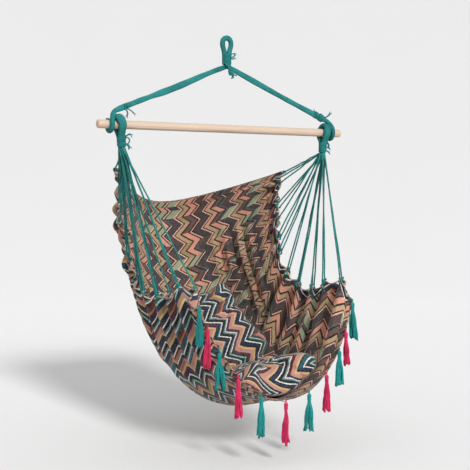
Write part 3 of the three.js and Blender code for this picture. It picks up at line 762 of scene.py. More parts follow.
# ------------------------------------------------------------------
# arms with their bar loops: one flattened rope on each side
# ------------------------------------------------------------------
for side, s in (("left", -1), ("right", 1)):
    arm = []
    for i in range(11):
        t = i / 10
        sag = -3 * math.sin(math.pi * t)
        if side == "left":
            sag += 1.2 * math.sin(3.1 * math.pi * t)
        x_a = -1 if side == "left" else 1
        arm.append(B(s * (x_a * s * 0 + 1 + (420 - 1) * t), (3.0 if side == "left" else -2.0) * (1 - t) ** 6, 225.5 + (53.2 - 225.5) * t + sag - 3 * (1 - t) ** 8))
    loop = [B(s * 437, -3.5, 44.6), B(s * 446.5, -10, 34), B(s * 451.5, -17.6, 21.5), B(s * 453.4, -21.6, 9)]
    for i in range(9):
        a = math.radians(16 + i * 27)
        loop.append(B(s * 454, -22.3 * math.cos(a), -22.3 * math.sin(a)))
    path = smooth_path(arm + loop, 0.0013)
    d = np.concatenate([[0], np.cumsum(np.linalg.norm(np.diff(path, axis=0), axis=1))])
    reach = 0.443
    def swell(S, side=side):
        k = np.clip((S - reach) / 0.03, 0, 1)
        k = k * k * (3 - 2 * k)
        if side == "left":
            wide = 0.98 + 0.24 * np.exp(-((S - 0.22) / 0.09) ** 2) - 0.10 * np.exp(-((S - 0.08) / 0.05) ** 2) - 0.14 * np.exp(-((S - 0.33) / 0.03) ** 2)
        else:
            wide = 1.0 + 0.08 * np.sin(S * 16) - 0.06 * np.exp(-((S - 0.05) / 0.05) ** 2) + 0.18 * np.exp(-((S - 0.405) / 0.035) ** 2)
        wide = wide * (1 + 0.03 * np.sin(S * 75))
        tip = 0.80 + 0.20 * np.clip(S / 0.03, 0, 1)
        return ((1 + 0.42 * k - 0.05 * (1 - k)) * tip, (wide * (1 - k) + 0.80 * k) * tip)
    rope = Bag()
    tube(rope, path, braid(0.0055, 0.0096, 14, 0.022, 0.0010, 0.8, swell=swell, soft=0.0004), 52, up=(0, 0, 1), dome=0.003)
    # small tie that closes the rope's eye against the arm, with its cut tails
    def turns(count, x0, z0, dx, dz, big, small, r, seed):
        for i in range(count):
            c = B(s * (x0 + dx * i), -0.5, z0 + dz * i)
            th = np.linspace(0, 2 * np.pi, 40)
            ring = c + np.outer(np.cos(th) * big, unit(np.array([s * 0.37, 0, 0.93]))) + np.outer(np.sin(th) * small, [0, 1, 0]) \
                + np.outer(np.sin(2 * th + seed + i) * 0.0007, [1, 0, 0])
            tube(rope, ring, three_ply(r, 0.0085, i, 0.04), 10, up=(1, 0, 0))
    if side == "right":
        turns(3, 384, 68.0, 4.4, -1.8, 0.0112, 0.0078, 0.0026, 3)
        turns(4, 404, 59.5, 4.4, -1.9, 0.0122, 0.0084, 0.0029, 8)
        tail(rope, [B(s * 424, -6, 58), B(s * 434, -9, 61), B(s * 442, -10, 67), B(s * 447, -10, 72)], 0.0028, 0.0036, True, 21, 7)
        tail(rope, [B(s * 382, -4, 76), B(s * 379, -5, 82)], 0.0018, 0.0018, True, 22, 4)
    else:
        turns(3, 392, 64.0, 4.0, -1.6, 0.0094, 0.0066, 0.0020, 1)
        tail(rope, [B(-402, -6, 54), B(-396, -11, 46), B(-394, -12, 37), B(-396, -12, 31)], 0.0028, 0.0030, True, 23, 6)
        tail(rope, [B(-398, -6, 55), B(-388, -10, 52), B(-378, -11, 46), B(-370, -11, 39)], 0.0023, 0.0024, True, 24, 5)
    piece(rope.build("arm_rope_" + side, [M_ROPE]), "yoke", ["arm_" + side, "bar_loop_" + side])

# ------------------------------------------------------------------
# clew eyes and their bindings
# ------------------------------------------------------------------
CLEW_X = {"left": (-417, -413, -409), "right": (424, 422, 420)}
for side, s in (("left", -1), ("right", 1)):
    x0, x1, x2 = CLEW_X[side]
    band = Bag()
    pts = []
    for a in np.linspace(-126, 126, 17):  # 0 at the top, negative in front
        r = 25.6
        up_ = max(0.0, math.cos(math.radians(a)))
        pts.append(B(x0 + s * 9.0 * up_, r * math.sin(math.radians(a)), (r + 1.5 * up_) * math.cos(math.radians(a))))
    lead = [B(x1, -5.0, -62), B(x1 - (x1 - x0) * 0.3, -6.0, -46), B(x0 + (x1 - x0) * 0.35, -11.5, -30.5)]
    back = [B(x0 + (x1 - x0) * 0.35, 11.5, -30.5), B(x1 - (x1 - x0) * 0.3, 6.0, -46), B(x1, 5.0, -62)]
    path = smooth_path(lead + pts[1:-1] + back, 0.0013)
    L = np.linalg.norm(np.diff(path, axis=0), axis=1).sum()
    def sw(S, L=L):
        k = np.clip(1 - np.minimum(S, L - S) / 0.045, 0, 1)
        m = np.exp(-((S - L * 0.47) / 0.035) ** 2)
        return (1 - 0.18 * k + 0.20 * m + 0.03 * np.sin(S * 90), 1 - 0.22 * k)
    # the band's wide side lies along the bar
    tube(band, path, braid(0.0126, 0.0086, 14, 0.021, 0.0010, 0.78, swell=sw, soft=0.0005), 52,
         up=np.cross([1, 0, 0], unit(path[1] - path[0])), dome=0.002)
    piece(band.build("clew_band_" + side, [M_ROPE]), "seat", ["clew_eye_" + side])

    bd = Bag()
    core = [B(x1, 0, -76), B(x1, 0, -60), B(x1, 0, -48), B(x1, 0, -38)]
    tube(bd, smooth_path(core, 0.002), lambda T, S: (0.0118 * np.cos(T), 0.0112 * np.sin(T)), 36, up=(0, 1, 0))
    wraps(bd, -73.4, -36.5, 12.9, 12.2, 8.0, 0.0027, cx=x1 + (x2 - x1) * 0.5, lean=((x1 - x2) * 0.5, 0), seed=31 + s, belly=0.06)
    if side == "left":
        tail(bd, [B(x1 + 9, -9, -42), B(x1 + 17, -13, -36), B(x1 + 25, -13, -32), B(x1 + 31, -12, -34)], 0.0029, 0.0032, True, 41, 6)
        tail(bd, [B(x1 + 9, -9, -46), B(x1 + 18, -13, -44), B(x1 + 25, -14, -51), B(x1 + 23, -13, -60), B(x1 + 18, -12, -66)], 0.0026, 0.0026, True, 42, 5)
        tail(bd, [B(x1 + 8, -9, -62), B(x1 + 15, -12, -66), B(x1 + 21, -12, -69), B(x1 + 24, -12, -75)], 0.0032, 0.0044, True, 43, 8)
    else:
        tail(bd, [B(x1 + 6, -9, -34), B(x1 + 13, -13, -38), B(x1 + 17, -14, -46), B(x1 + 17, -13, -54)], 0.0036, 0.0046, True, 44, 8)
        tail(bd, [B(x1 + 8, -9, -66), B(x1 + 14, -12, -70), B(x1 + 20, -12, -73)], 0.0026, 0.0034, True, 45, 7)
    piece(bd.build("clew_binding_" + side, [M_BIND]), "seat", ["clew_whipping_" + side])

# ------------------------------------------------------------------
# the cloth: folds between the cords, scalloped side edges, hems
# ------------------------------------------------------------------
CORDS = [(0.012, False), (0.062, True), (0.22, True), (0.29, False), (0.385, True), (0.464, True),
         (0.575, True), (0.62, False), (0.662, True), (0.705, True), (0.745, False), (0.785, False),
         (0.845, False), (0.898, False), (0.945, False)]
CV = np.array([c[0] for c in CORDS])
KNOTS = np.concatenate([[-0.03], CV, [1.03]])
EDGE_V = np.linalg.norm(np.diff(TABLE[:, -1], axis=0), axis=1).sum()
CUSHIONS = {"back": (0.06, 0.43, 0.466, 0.152), "seat": (0.08, 0.41, 0.792, 0.148)}


def smooth01(x):
    x = np.clip(x, 0, 1)
    return x * x * (3 - 2 * x)


def value_noise(x, y, seed):
    r = np.random.default_rng(seed).normal(0, 1, (64, 64))
    xi, yi = np.floor(x).astype(int), np.floor(y).astype(int)
    fx, fy = smooth01(x - xi), smooth01(y - yi)
    g = lambda a, b: r[a % 64, b % 64]
    return ((g(xi, yi) * (1 - fx) + g(xi + 1, yi) * fx) * (1 - fy)
            + (g(xi, yi + 1) * (1 - fx) + g(xi + 1, yi + 1) * fx) * fy)


# How much shorter the hung surface is than the flat cloth, along the length: the rest is taken up in pleats.
_short = np.clip(np.linalg.norm(_dv, axis=2) * (TV - 1) / FLAT_L, 0.5, 1.0)
_ker = np.hanning(61)
_ker /= _ker.sum()
_short = np.stack([np.convolve(np.pad(_short[:, i], 30, mode="edge"), _ker, mode="valid") for i in range(TU)], 1)
_tau = np.linspace(0, np.pi, 200)
_x = np.linspace(0, 2.0, 120)
_J = [np.array([np.mean(np.cos(n * _tau - q * np.sin(_tau))) for q in _x]) for n in range(4)]
# valleys of the pleats, at some of the cords; a ridge stands between each two
PLEATS = np.array([-0.03, 0.062, 0.135, 0.22, 0.29, 0.335, 0.385, 0.464, 0.575, 0.662, 0.745, 0.845, 0.945, 1.05])


PLEATS_LEFT = np.array([-0.03, 0.062, 0.135, 0.22, 0.29, 0.335, 0.385, 0.464, 0.510, 0.567, 0.636, 0.712, 0.781, 0.846,
                        0.938, 1.04])


def folds(u, v):
    """(shift in u, shift in v, offset along the outward normal in metres) of the hung cloth."""
    u, v = np.asarray(u, float), np.asarray(v, float)
    half = row_length(v) / 2
    s = (1 - np.abs(u)) * half                       # metres from the side edge
    right = u > 0
    k = np.clip(np.searchsorted(KNOTS, v, side="right") - 1, 0, len(KNOTS) - 2)
    gap = KNOTS[k + 1] - KNOTS[k]
    t = np.clip((v - KNOTS[k]) / gap, 0, 1)
    g = gap * EDGE_V                                  # metres between two cords
    belly = np.sin(np.pi * t) ** 1.4
    many = np.round(np.maximum(1, g / 0.055))
    ripple = 0.5 - 0.5 * np.cos(2 * np.pi * many * t)
    drop = (np.minimum(0.36 * g, 0.026) * belly + 0.0100 * ripple * (many > 1)) * np.exp(-(s / 0.055) ** 1.2)
    # pleats keep the cloth's own length where it is gathered to the cords
    back = 1 - smooth01((v - 0.40) / 0.14)
    drop = drop * (1 - 0.55 * back) - 0.0085 * back * ripple * np.exp(-(s / 0.035) ** 1.4)
    du = -np.sign(u) * drop / half
    wall = 1 - back
    kr = np.clip(np.searchsorted(PLEATS, v, side="right") - 1, 0, len(PLEATS) - 2)
    kl = np.clip(np.searchsorted(PLEATS_LEFT, v, side="right") - 1, 0, len(PLEATS_LEFT) - 2)
    kp = np.where(right, kr, kl)
    width = np.where(right, PLEATS[kr + 1] - PLEATS[kr], PLEATS_LEFT[kl + 1] - PLEATS_LEFT[kl])
    tp = np.clip(np.where(right, (v - PLEATS[kr]), (v - PLEATS_LEFT[kl])) / width, 0, 1)
    vary = 1 + 0.22 * np.sin(kp * 2.4 + np.where(right, 5.0, 0.0))
    short = look_up(_short[..., None], u, v)[..., 0]
    theta = np.interp(-short, -_J[0], _x)
    fade = np.exp(-(s / (0.090 + 0.295 * wall)) ** 1.8)
    theta = np.clip((theta + 0.42 * wall) * vary, 0, 1.55) * fade
    j1, j2, j3 = (np.interp(theta, _x, _J[n]) for n in (1, 2, 3))
    lam = width * FLAT_L / (2 * np.pi)
    lam = np.minimum(lam, 0.0150 + 0.0075 * wall)
    wander = 0.9 * value_noise(v * 7 + 5, s * 8 + 2, 31) * smooth01((s - 0.03) / 0.14)
    lean = np.where(right, -0.42, 0.42) * wall
    ph = 2 * np.pi * (tp + kp) + lean * (1 - np.cos(2 * np.pi * tp)) + wander
    d = -lam * (2 * j1 * np.cos(ph) + 0.667 * j3 * np.cos(3 * ph))
    dv = lam * j2 * np.sin(2 * ph) / (short * FLAT_L)
    # smaller creases between, at the gathered edge
    d = d + (0.0028 + 0.0030 * back) * np.sin(2 * np.pi * many * t + 1.3) * np.exp(-s / 0.05) * (0.4 + 0.6 * (many > 1))
    # between the cords of the back the edge puffs and curls forward
    d = d - 0.0230 * back * ripple * np.exp(-((s - 0.012) / 0.024) ** 2) + 0.0070 * back * ripple * np.exp(-((s - 0.062) / 0.020) ** 2)
    # on the back's right side the cloth laps over itself in tall drapes
    X, Y = u * FLAT_W / 2, v * FLAT_L
    q = (X - 0.10) / 0.058 + 0.16 * np.sin(Y * 8) + 0.05 * np.sin(Y * 21)
    saw = np.sin(2 * np.pi * q + 0.75 * np.sin(2 * np.pi * q))
    area_ = np.exp(-((X - 0.275) / 0.095) ** 2) * smooth01((v - 0.10) / 0.14) * (1 - smooth01((v - 0.46) / 0.16))
    d = d + (0.0205 * saw + 0.0110) * area_
    q2 = (X + 0.06) / 0.075
    area2 = np.exp(-((X + 0.30) / 0.10) ** 2) * smooth01((v - 0.12) / 0.14) * (1 - smooth01((v - 0.44) / 0.14))
    d = d + 0.0060 * np.sin(2 * np.pi * q2 + 1.5 * np.sin(Y * 6)) * area2
    # slack of the sheet
    d = d + 0.0032 * value_noise(X * 9 + 20, Y * 6 + 7, 11) + 0.0014 * value_noise(X * 24 + 3, Y * 17 + 9, 12)
    # pull lines from the two top corners
    for sx in (-1, 1):
        rr = np.hypot(X - sx * FLAT_W / 2, Y)
        an = np.arctan2(Y, -(X - sx * FLAT_W / 2) * sx)
        d = d + 0.0035 * np.sin(an * 16 + sx) * np.exp(-((rr - 0.16) / 0.13) ** 2)
    # pressed flat under the cushions
    for u0, a, v0, b in CUSHIONS.values():
        m = (1 - smooth01((np.abs(u - u0) - a * 1.0) / (a * 0.20))) * (1 - smooth01((np.abs(v - v0) - b * 1.0) / (b * 0.24)))
        d = d * (1 - m) + 0.0008 * m
        dv = dv * (1 - m)
    # the front and back hems are stiffer
    hem = smooth01(np.minimum(v, 1 - v) / 0.035)
    return du, dv * hem, d * (0.35 + 0.65 * hem)


def hung(u, v, off=0.0):
    """A point of the hung cloth, off metres outside its middle."""
    du, dv, d = folds(u, v)
    uu = np.asarray(u, float) + du
    vv = np.asarray(v, float) + dv
    return cloth(uu, vv) + outward(uu, vv) * (d + off)[..., None]


def flat_uv(u, v):
    return np.stack([np.asarray(u) * FLAT_W / 2, np.asarray(v) * FLAT_L], -1)


def sheet_mesh(name, us, vs, half, mats, rim=0):
    U, Vv = np.meshgrid(us, vs)
    nu, nv = len(us), len(vs)
    base = hung(U, Vv)
    # offsets follow the folded surface's own normal
    gu, gv = np.gradient(base, axis=1), np.gradient(base, axis=0)
    nn = unit(np.cross(gu, gv))
    out = (base + nn * half).reshape(-1, 3)
    inn = (base - nn * half).reshape(-1, 3)
    uv = flat_uv(U, Vv).reshape(-1, 2)
    verts = np.vstack([out, inn])
    O = np.arange(nu * nv).reshape(nv, nu)
    I = O + nu * nv
    faces, mi = [], []
    q = np.stack([O[:-1, :-1], O[:-1, 1:], O[1:, 1:], O[1:, :-1]], -1).reshape(-1, 4)
    faces += q.tolist(); mi += [0] * len(q)
    q = np.stack([I[:-1, :-1], I[1:, :-1], I[1:, 1:], I[:-1, 1:]], -1).reshape(-1, 4)
    # a strip along each side edge is turned in, so that it shows the outer face
    um, vm = (U[:-1, :-1] + U[:-1, 1:]) / 2, (Vv[:-1, :-1] + Vv[1:, :-1]) / 2
    km = np.clip(np.searchsorted(KNOTS, vm, side="right") - 1, 0, len(KNOTS) - 2)
    tm = (vm - KNOTS[km]) / (KNOTS[km + 1] - KNOTS[km])
    wide = (0.55 + 0.45 * smooth01((vm - 0.30) / 0.15)) * (0.30 + 0.70 * (1 - np.abs(2 * tm - 1)))
    high = 1 - smooth01((vm - 0.36) / 0.12)
    fold_over = 0.964 - 0.052 * wide * (1 - high) - (0.078 + 0.030 * np.sin(2 * np.pi * tm)) * high
    turned = (np.abs(um) > fold_over).ravel()
    faces += q.tolist(); mi += np.where(turned, 0, 1).tolist()
    for a, b in ((O[0], I[0]),):
        for i in range(nu - 1):
            faces.append([a[i], b[i], b[i + 1], a[i + 1]]); mi.append(0)
    for i in range(nu - 1):
        faces.append([O[-1, i], O[-1, i + 1], I[-1, i + 1], I[-1, i]]); mi.append(0)
    for j in range(nv - 1):
        faces.append([O[j, 0], O[j + 1, 0], I[j + 1, 0], I[j, 0]]); mi.append(0)
        faces.append([O[j, -1], I[j, -1], I[j + 1, -1], O[j + 1, -1]]); mi.append(0)
    return make_object(name, verts, faces, True, {"weave": np.vstack([uv, uv])}, mats, mi)


def graded(n):
    """u from -1 to 1, closer together near the side edges."""
    t = np.linspace(-1, 1, n)
    return np.sign(t) * (1 - (1 - np.abs(t)) ** 1.12)


us = graded(173)
vs = np.linspace(0.0, 1.0, 289)
seat = sheet_mesh("seat_sheet", us, vs, 0.0009, [M_OUT, M_IN])
piece(seat, "seat", ["seat_cloth"])

# front and back hems: the cloth turned over twice and sewn down
for name, node, va, vb in (("front_hem_fold", "front_hem", 1.0, 0.9815), ("back_hem_fold", "back_hem", 0.0, 0.0185)):
    n_u, n_c = 187, 15
    uu = graded(n_u)
    # section: from the sewn line inside, round the hem's edge, to the sewn line outside
    c = np.linspace(-1, 1, n_c)
    verts, uvs = [], []
    edge = np.sign(vb - va)
    for ci in c:
        depth = 1 - (1 - abs(ci)) ** 2.2            # 0 at the hem's edge, 1 at the sewn line
        vv = va + (vb - va) * depth
        thick = 0.0026 * math.sqrt(max(0.0, 1 - (1 - abs(ci)) ** 4)) * (1 - 0.25 * (depth > 0.97))
        pu = hung(uu, np.full(n_u, np.clip(vv, 0, 1)))
        n0 = outward(uu, np.full(n_u, np.clip(vv, 0, 1)))
        roll = 0.0006 * np.sin(uu * 90 + 2 * np.sin(uu * 31)) * (1 - depth)
        # pushes the fold a little beyond the sheet's end so that it wraps it
        away = unit(hung(uu, np.full(n_u, va)) - hung(uu, np.full(n_u, vb)))
        p = pu + n0 * (np.sign(ci) * thick + roll)[:, None] + away * (0.0016 * (1 - depth))
        verts.append(p)
        uvs.append(flat_uv(uu, np.full(n_u, vv + (0.03 if ci < 0 else 0.0) * edge)))
    V3 = np.array(verts)
    idx = np.arange(n_c * n_u).reshape(n_c, n_u)
    faces = np.stack([idx[:-1, :-1], idx[:-1, 1:], idx[1:, 1:], idx[1:, :-1]], -1).reshape(-1, 4).tolist()
    for i in range(n_u - 1):  # close the section along the sewn line
        faces.append([idx[-1, i], idx[-1, i + 1], idx[0, i + 1], idx[0, i]])
    faces.append(idx[:, 0].tolist())
    faces.append(idx[::-1, -1].tolist())
    if edge > 0:
        faces = [list(reversed(f)) for f in faces]
    mi = []
    for f in faces:
        mi.append(0)
    hem = make_object(name, V3.reshape(-1, 3), faces, True, {"weave": np.array(uvs).reshape(-1, 2)}, [M_IN if node == "front_hem" else M_IN], mi)
    piece(hem, "seat", [node])
    # a row of stitches on both faces
    st = Bag()
    vline = va + (vb - va) * 0.93
    total = float(row_length(np.array([vline]))[0])
    count = int(total / 0.0062)
    for face in (-1, 1):
        for i in range(count):
            ua = -0.985 + 1.97 * (i + 0.12) / count
            ub = -0.985 + 1.97 * (i + 0.80) / count
            q = np.array([ua, ua + (ub - ua) * 0.25, (ua + ub) / 2, ub - (ub - ua) * 0.25, ub])
            lift = np.array([-0.0006, 0.0002, 0.0004, 0.0002, -0.0006])
            pq = hung(q, np.full(5, vline)) + outward(q, np.full(5, vline)) * (face * (0.0024 + lift))[:, None]
            tube(st, pq, 0.00045, 5, up=outward(q[2], vline), cap=True)
    stitches = st.build(name.replace("fold", "stitching"), [M_THREAD])
    piece(stitches, "seat", ())

# rolled side edges
for side, s in (("left", -1), ("right", 1)):
    vv = np.linspace(0.001, 0.999, 520)
    p = hung(np.full(520, s * 0.9975), vv)
    inner = hung(np.full(520, s * 0.975), vv)
    p = p + unit(p - inner) * 0.0004
    p = even(p, 0.0022)
    roll = Bag()
    def rr(T, S, s=s):
        return 0.0024 * (1 + 0.10 * np.sin(2 * np.pi * S / 0.0040 + s * T) + 0.12 * np.sin(S * 140) * np.sin(S * 47))
    tube(roll, p, rr, 12, up=(s, 0, 0), dome=0.001)
    ro = roll.build("side_edge_" + side, [M_EDGE])
    piece(ro, "seat", ["side_hem_" + side])

# ------------------------------------------------------------------
# suspension cords
# ------------------------------------------------------------------
COLUMNS = [5, 5, 5, 4, 3]
CORD_R, PITCH, TURN = 1.9, 4.4, 3.5
LENGTHS = {}
for side, s in (("left", -1), ("right", 1)):
    x2 = CLEW_X[side][2]
    starts = []
    for c, count in enumerate(COLUMNS):
        for k in range(count):
            starts.append(B(x2 + s * (k - (count - 1) / 2) * PITCH, (2 - c) * PITCH, -75 - 2.4))
    strand = 0
    for i, (v, doubled) in enumerate(CORDS):
        edge = cloth(s * 1.0, v)
        a = starts[strand]; strand += 1
        tip = hung(np.array([s * 0.9975]), np.array([v]))[0]
        inside = hung(np.array([s * 0.972]), np.array([v]))[0]
        into = unit(inside - tip)
        n = outward(s * 0.99, v)
        along = unit(cloth(s, min(v + 0.01, 1)) - cloth(s, max(v - 0.01, 0)))
        down = unit(edge - a)
        bag = Bag()
        rng = np.random.default_rng(100 + i + (50 if s > 0 else 0))
        length = 0.0

        def strand_path(p0, p1, k):
            """A taut cord is nearly straight; it keeps a slight kink here and there."""
            n_p = 9
            t = np.linspace(0, 1, n_p)
            q = p0 + (p1 - p0) * t[:, None]
            w = np.sin(np.pi * t) ** 0.8
            q = q + (rng.normal(0, 0.0008, (n_p, 3)) * w[:, None])
            return q

        if doubled:
            b = starts[strand]; strand += 1
            across = unit(along - down * (along @ down))
            e1 = tip + across * 0.0092 - down * 0.0050
            e2 = tip - across * 0.0092 - down * 0.0050
            q1, q2 = strand_path(a, e1, 0), strand_path(b, e2, 1)
            # down one leg, round through the cloth's rolled edge and up the other
            turn = [e1 + down * 0.004 + n * 0.0042, tip + into * 0.0065 + across * 0.0032 + n * 0.0036,
                    tip + into * 0.0075, tip + into * 0.0065 - across * 0.0032 - n * 0.0036, e2 + down * 0.004 - n * 0.0042]
            path = smooth_path(np.vstack([q1, turn, q2[::-1]]), 0.0021)
            tube(bag, path, three_ply(0.0030, 0.0135, 0.0, 0.05), 12, up=(0.3, 1, 0.1))
            length = np.linalg.norm(np.diff(path, axis=0), axis=1).sum()
        else:
            q1 = strand_path(a, tip - down * 0.0045, 0)
            # a hitch round the rolled edge: out, under, in and back over its own standing part
            hitch = [tip + n * 0.0045 + down * 0.001, tip + into * 0.0066 + n * 0.002, tip + into * 0.0070 - n * 0.0025,
                     tip - n * 0.0055 - down * 0.001, tip - n * 0.0025 - down * 0.0085 + along * 0.003,
                     tip + n * 0.0035 - down * 0.0095 + along * 0.0025, tip + n * 0.0040 - down * 0.0065 - along * 0.0035,
                     tip - n * 0.0030 - down * 0.0060 - along * 0.0045, tip - n * 0.0040 - down * 0.0030 - along * 0.006]
            path = smooth_path(np.vstack([q1, hitch]), 0.0021)
            tube(bag, path, three_ply(0.0030, 0.0135, 0.0, 0.05), 12, up=(0.3, 1, 0.1))
            length = np.linalg.norm(np.diff(path, axis=0), axis=1).sum()
        if doubled and i in (4, 5, 6):
            # an overhand knot gathers the two legs just above the edge
            for w in range(3):
                c = tip - down * (0.0085 + 0.0034 * w)
                th = np.linspace(0, 2 * np.pi, 22)
                ring = c + np.outer(np.cos(th), across) * 0.0058 + np.outer(np.sin(th), unit(np.cross(down, across))) * 0.0040 \
                    + np.outer(np.sin(th + w * 2), down) * 0.0012
                tube(bag, ring, three_ply(0.0020, 0.0100, w, 0.04), 10, up=down)
        name = f"{side}_{i + 1:02d}"
        LENGTHS["cord_" + name] = round(float(length), 3)
        piece(bag.build("twine_" + name, [M_CORD]), "seat", ["cord_" + name])

# ------------------------------------------------------------------
# tassels
# ------------------------------------------------------------------
TASSEL_U = [-0.975, -0.825, -0.65, -0.43, -0.215, -0.015, 0.185, 0.38, 0.58, 0.725, 0.945]
# per tassel: splay at the end (m), how many lobes the skirt has parted into, length factor
TASSEL_LOOK = [(0.0105, 1, 1.00), (0.0100, 1, 0.98), (0.0150, 2, 0.95), (0.0125, 1, 0.97), (0.0120, 1, 1.00), (0.0115, 1, 1.02),
               (0.0140, 2, 0.98), (0.0145, 1, 0.97), (0.0135, 2, 0.94), (0.0095, 1, 0.88), (0.0115, 2, 0.98)]
ties = Bag()
for k, u0 in enumerate(TASSEL_U):
    p0 = cloth(u0, 1.0)
    top = p0 + np.array([0, -0.0096, 0])
    L = 0.134 * TASSEL_LOOK[k][2]
    splay, lobes = TASSEL_LOOK[k][0], TASSEL_LOOK[k][1]
    rng = np.random.default_rng(500 + k)
    bag = Bag()
    # knot at the tie, then the short tie, the head and the neck's wrapping
    neck_z = -0.0270
    # tie: two legs of yarn
    for sgn in (-1, 1):
        leg = [top + np.array([sgn * 0.0010, 0, 0.0005]), top + np.array([sgn * 0.0016, 0.0004, -0.0045]), top + np.array([sgn * 0.0012, 0, -0.0105])]
        tube(bag, smooth_path(leg, 0.0011), three_ply(0.0011, 0.006, sgn, 0.03), 8, up=(0, 1, 0))
    th = np.linspace(0, 2 * np.pi, 16)
    for w in range(2):
        ring = top + np.stack([0.0020 * np.cos(th), 0.0018 * np.sin(th), 0.0006 * np.sin(th + w) + 0 * th - 0.0003 - 0.0018 * w], 1)
        tube(bag, ring, 0.0011, 7, up=(0, 0, 1))
    # head: yarn folded over the tie
    n_h = 40
    for j in range(n_h):
        a = 2 * np.pi * j / n_h + rng.normal(0, 0.05)
        prof_h = [(0.0010, -0.0085), (0.0044, -0.0105), (0.0064, -0.0150), (0.0062, -0.0195), (0.0048, -0.0235), (0.0045, -0.0275)]
        q = [top + np.array([r * math.cos(a + 0.10 * m), r * math.sin(a + 0.10 * m), z]) for m, (r, z) in enumerate(prof_h)]
        tube(bag, smooth_path(q, 0.0020), 0.00082, 5, up=(math.cos(a), math.sin(a), 0.2), cap=False)
    tube(bag, np.array([top + np.array([0, 0, z]) for z in (-0.0100, -0.0130, -0.0180, -0.0230, -0.0280)]),
         lambda T, S: np.interp(S, [0, 0.003, 0.008, 0.013, 0.018], [0.002, 0.0054, 0.0059, 0.0044, 0.0042]), 14, up=(0, 1, 0))
    tt = np.linspace(0, 1, 90)
    aa = 2 * np.pi * 4.6 * tt
    helix = top + np.stack([0.0056 * np.cos(aa), 0.0056 * np.sin(aa), -0.0222 - 0.0085 * tt], 1)
    tube(bag, helix, three_ply(0.0012, 0.006, k, 0.03), 8, up=(0, 0, 1))
    # skirt: yarns that fall in a few locks, each lock with its own bend and length
    n_s = 84
    part = rng.random() * np.pi
    lean = np.array([rng.normal(0, 0.0030), rng.normal(0, 0.0025)])
    locks = 7
    lock_a = np.arange(locks) * 2 * np.pi / locks + rng.normal(0, 0.2, locks)
    lock_r = splay * (0.80 + 0.45 * rng.random(locks))
    lock_l = 1 + rng.normal(0, 0.028, locks)
    lock_w = rng.normal(0, 0.0021, (locks, 2))
    lock_p = rng.random(locks) * 6.28
    for j in range(n_s):
        c_ = j % locks
        f = math.sqrt(rng.random())
        a = rng.random() * 2 * np.pi
        la = lock_a[c_]
        cx, cy = lock_r[c_] * math.cos(la), lock_r[c_] * math.sin(la)
        if lobes == 2:
            sgn = 1 if math.cos(la - part) > 0 else -1
            cx += sgn * 0.0062 * math.cos(part)
            cy += sgn * 0.0062 * math.sin(part)
        own = 0.0040 * f
        length_j = L * (lock_l[c_] + rng.normal(0, 0.014)) - 0.030
        n_p = 9
        q = []
        ph = rng.random() * 6.28
        wav = rng.normal(0, 0.0006, (n_p, 2))
        for m in range(n_p):
            t = m / (n_p - 1)
            r0x, r0y = 0.0044 * f * math.cos(a), 0.0044 * f * math.sin(a)
            go = 0.46 * min(1.0, t * 2.6) + 0.18 * t + 0.36 * t ** 2.4
            x = r0x * (1 - t) + (cx * 0.72) * go + own * math.cos(a) * min(1, 2 * t) + lean[0] * t ** 1.5 \
                + lock_w[c_, 0] * math.sin(5.5 * t + lock_p[c_]) * t + wav[m, 0] * t + 0.0007 * math.sin(11 * t + ph)
            y = r0y * (1 - t) + (cy * 0.72) * go + own * math.sin(a) * min(1, 2 * t) + lean[1] * t ** 1.5 \
                + lock_w[c_, 1] * math.sin(6.5 * t + lock_p[c_]) * t + wav[m, 1] * t + 0.0007 * math.cos(10 * t + ph)
            q.append(top + np.array([x, y, -0.0290 - length_j * t]))
        tube(bag, smooth_path(q, 0.0068), three_ply(0.00132, 0.011, 0.0, 0.0), 6, up=(math.cos(a), math.sin(a), 0.1), cap=True)
    mat = M_PINK if k % 2 else M_TEAL
    ob = bag.build(f"tassel_yarn_{k + 1:02d}", [mat])
    piece(ob, f"tassel_{k + 1:02d}_body", [f"tassel_{k + 1:02d}"])
    # the tie's loop through the hem stays on the hem
    hem_in = hung(np.array([u0]), np.array([0.986]))[0]
    n = outward(u0, 0.99)
    loop = [top + np.array([0, 0, -0.0006]), p0 + n * 0.0050 + np.array([0, -0.003, -0.001]), hem_in + n * 0.0034, hem_in + (hem_in - p0) * 0.25,
            hem_in - n * 0.0034, p0 - n * 0.0050 + np.array([0, -0.003, 0.002]), top + np.array([0, 0, 0.0008])]
    tube(ties, smooth_path(loop, 0.0012), three_ply(0.0011, 0.006, k, 0.03), 8, up=(1, 0, 0.1), m=k % 2)
tie_ob = ties.build("tassel_ties", [M_TEAL, M_PINK])
piece(tie_ob, "seat", ())

# ------------------------------------------------------------------
# cushions: two flat panels sewn at the rim, blown up by simulation,
# then laid into the cloth's hollow
# ------------------------------------------------------------------
PILLOWS = {"back": (0.066, 0.432, 0.474, 0.167), "seat": (0.082, 0.398, 0.810, 0.154)}
SKEW = {"back": 0.082, "seat": -0.021}
# how the pattern lies in each cushion's panels: scale and place
CUT = {"back": (1.00, 0.95, 0.0, 0.0), "seat": (0.88, 0.80, 0.030, 0.020)}


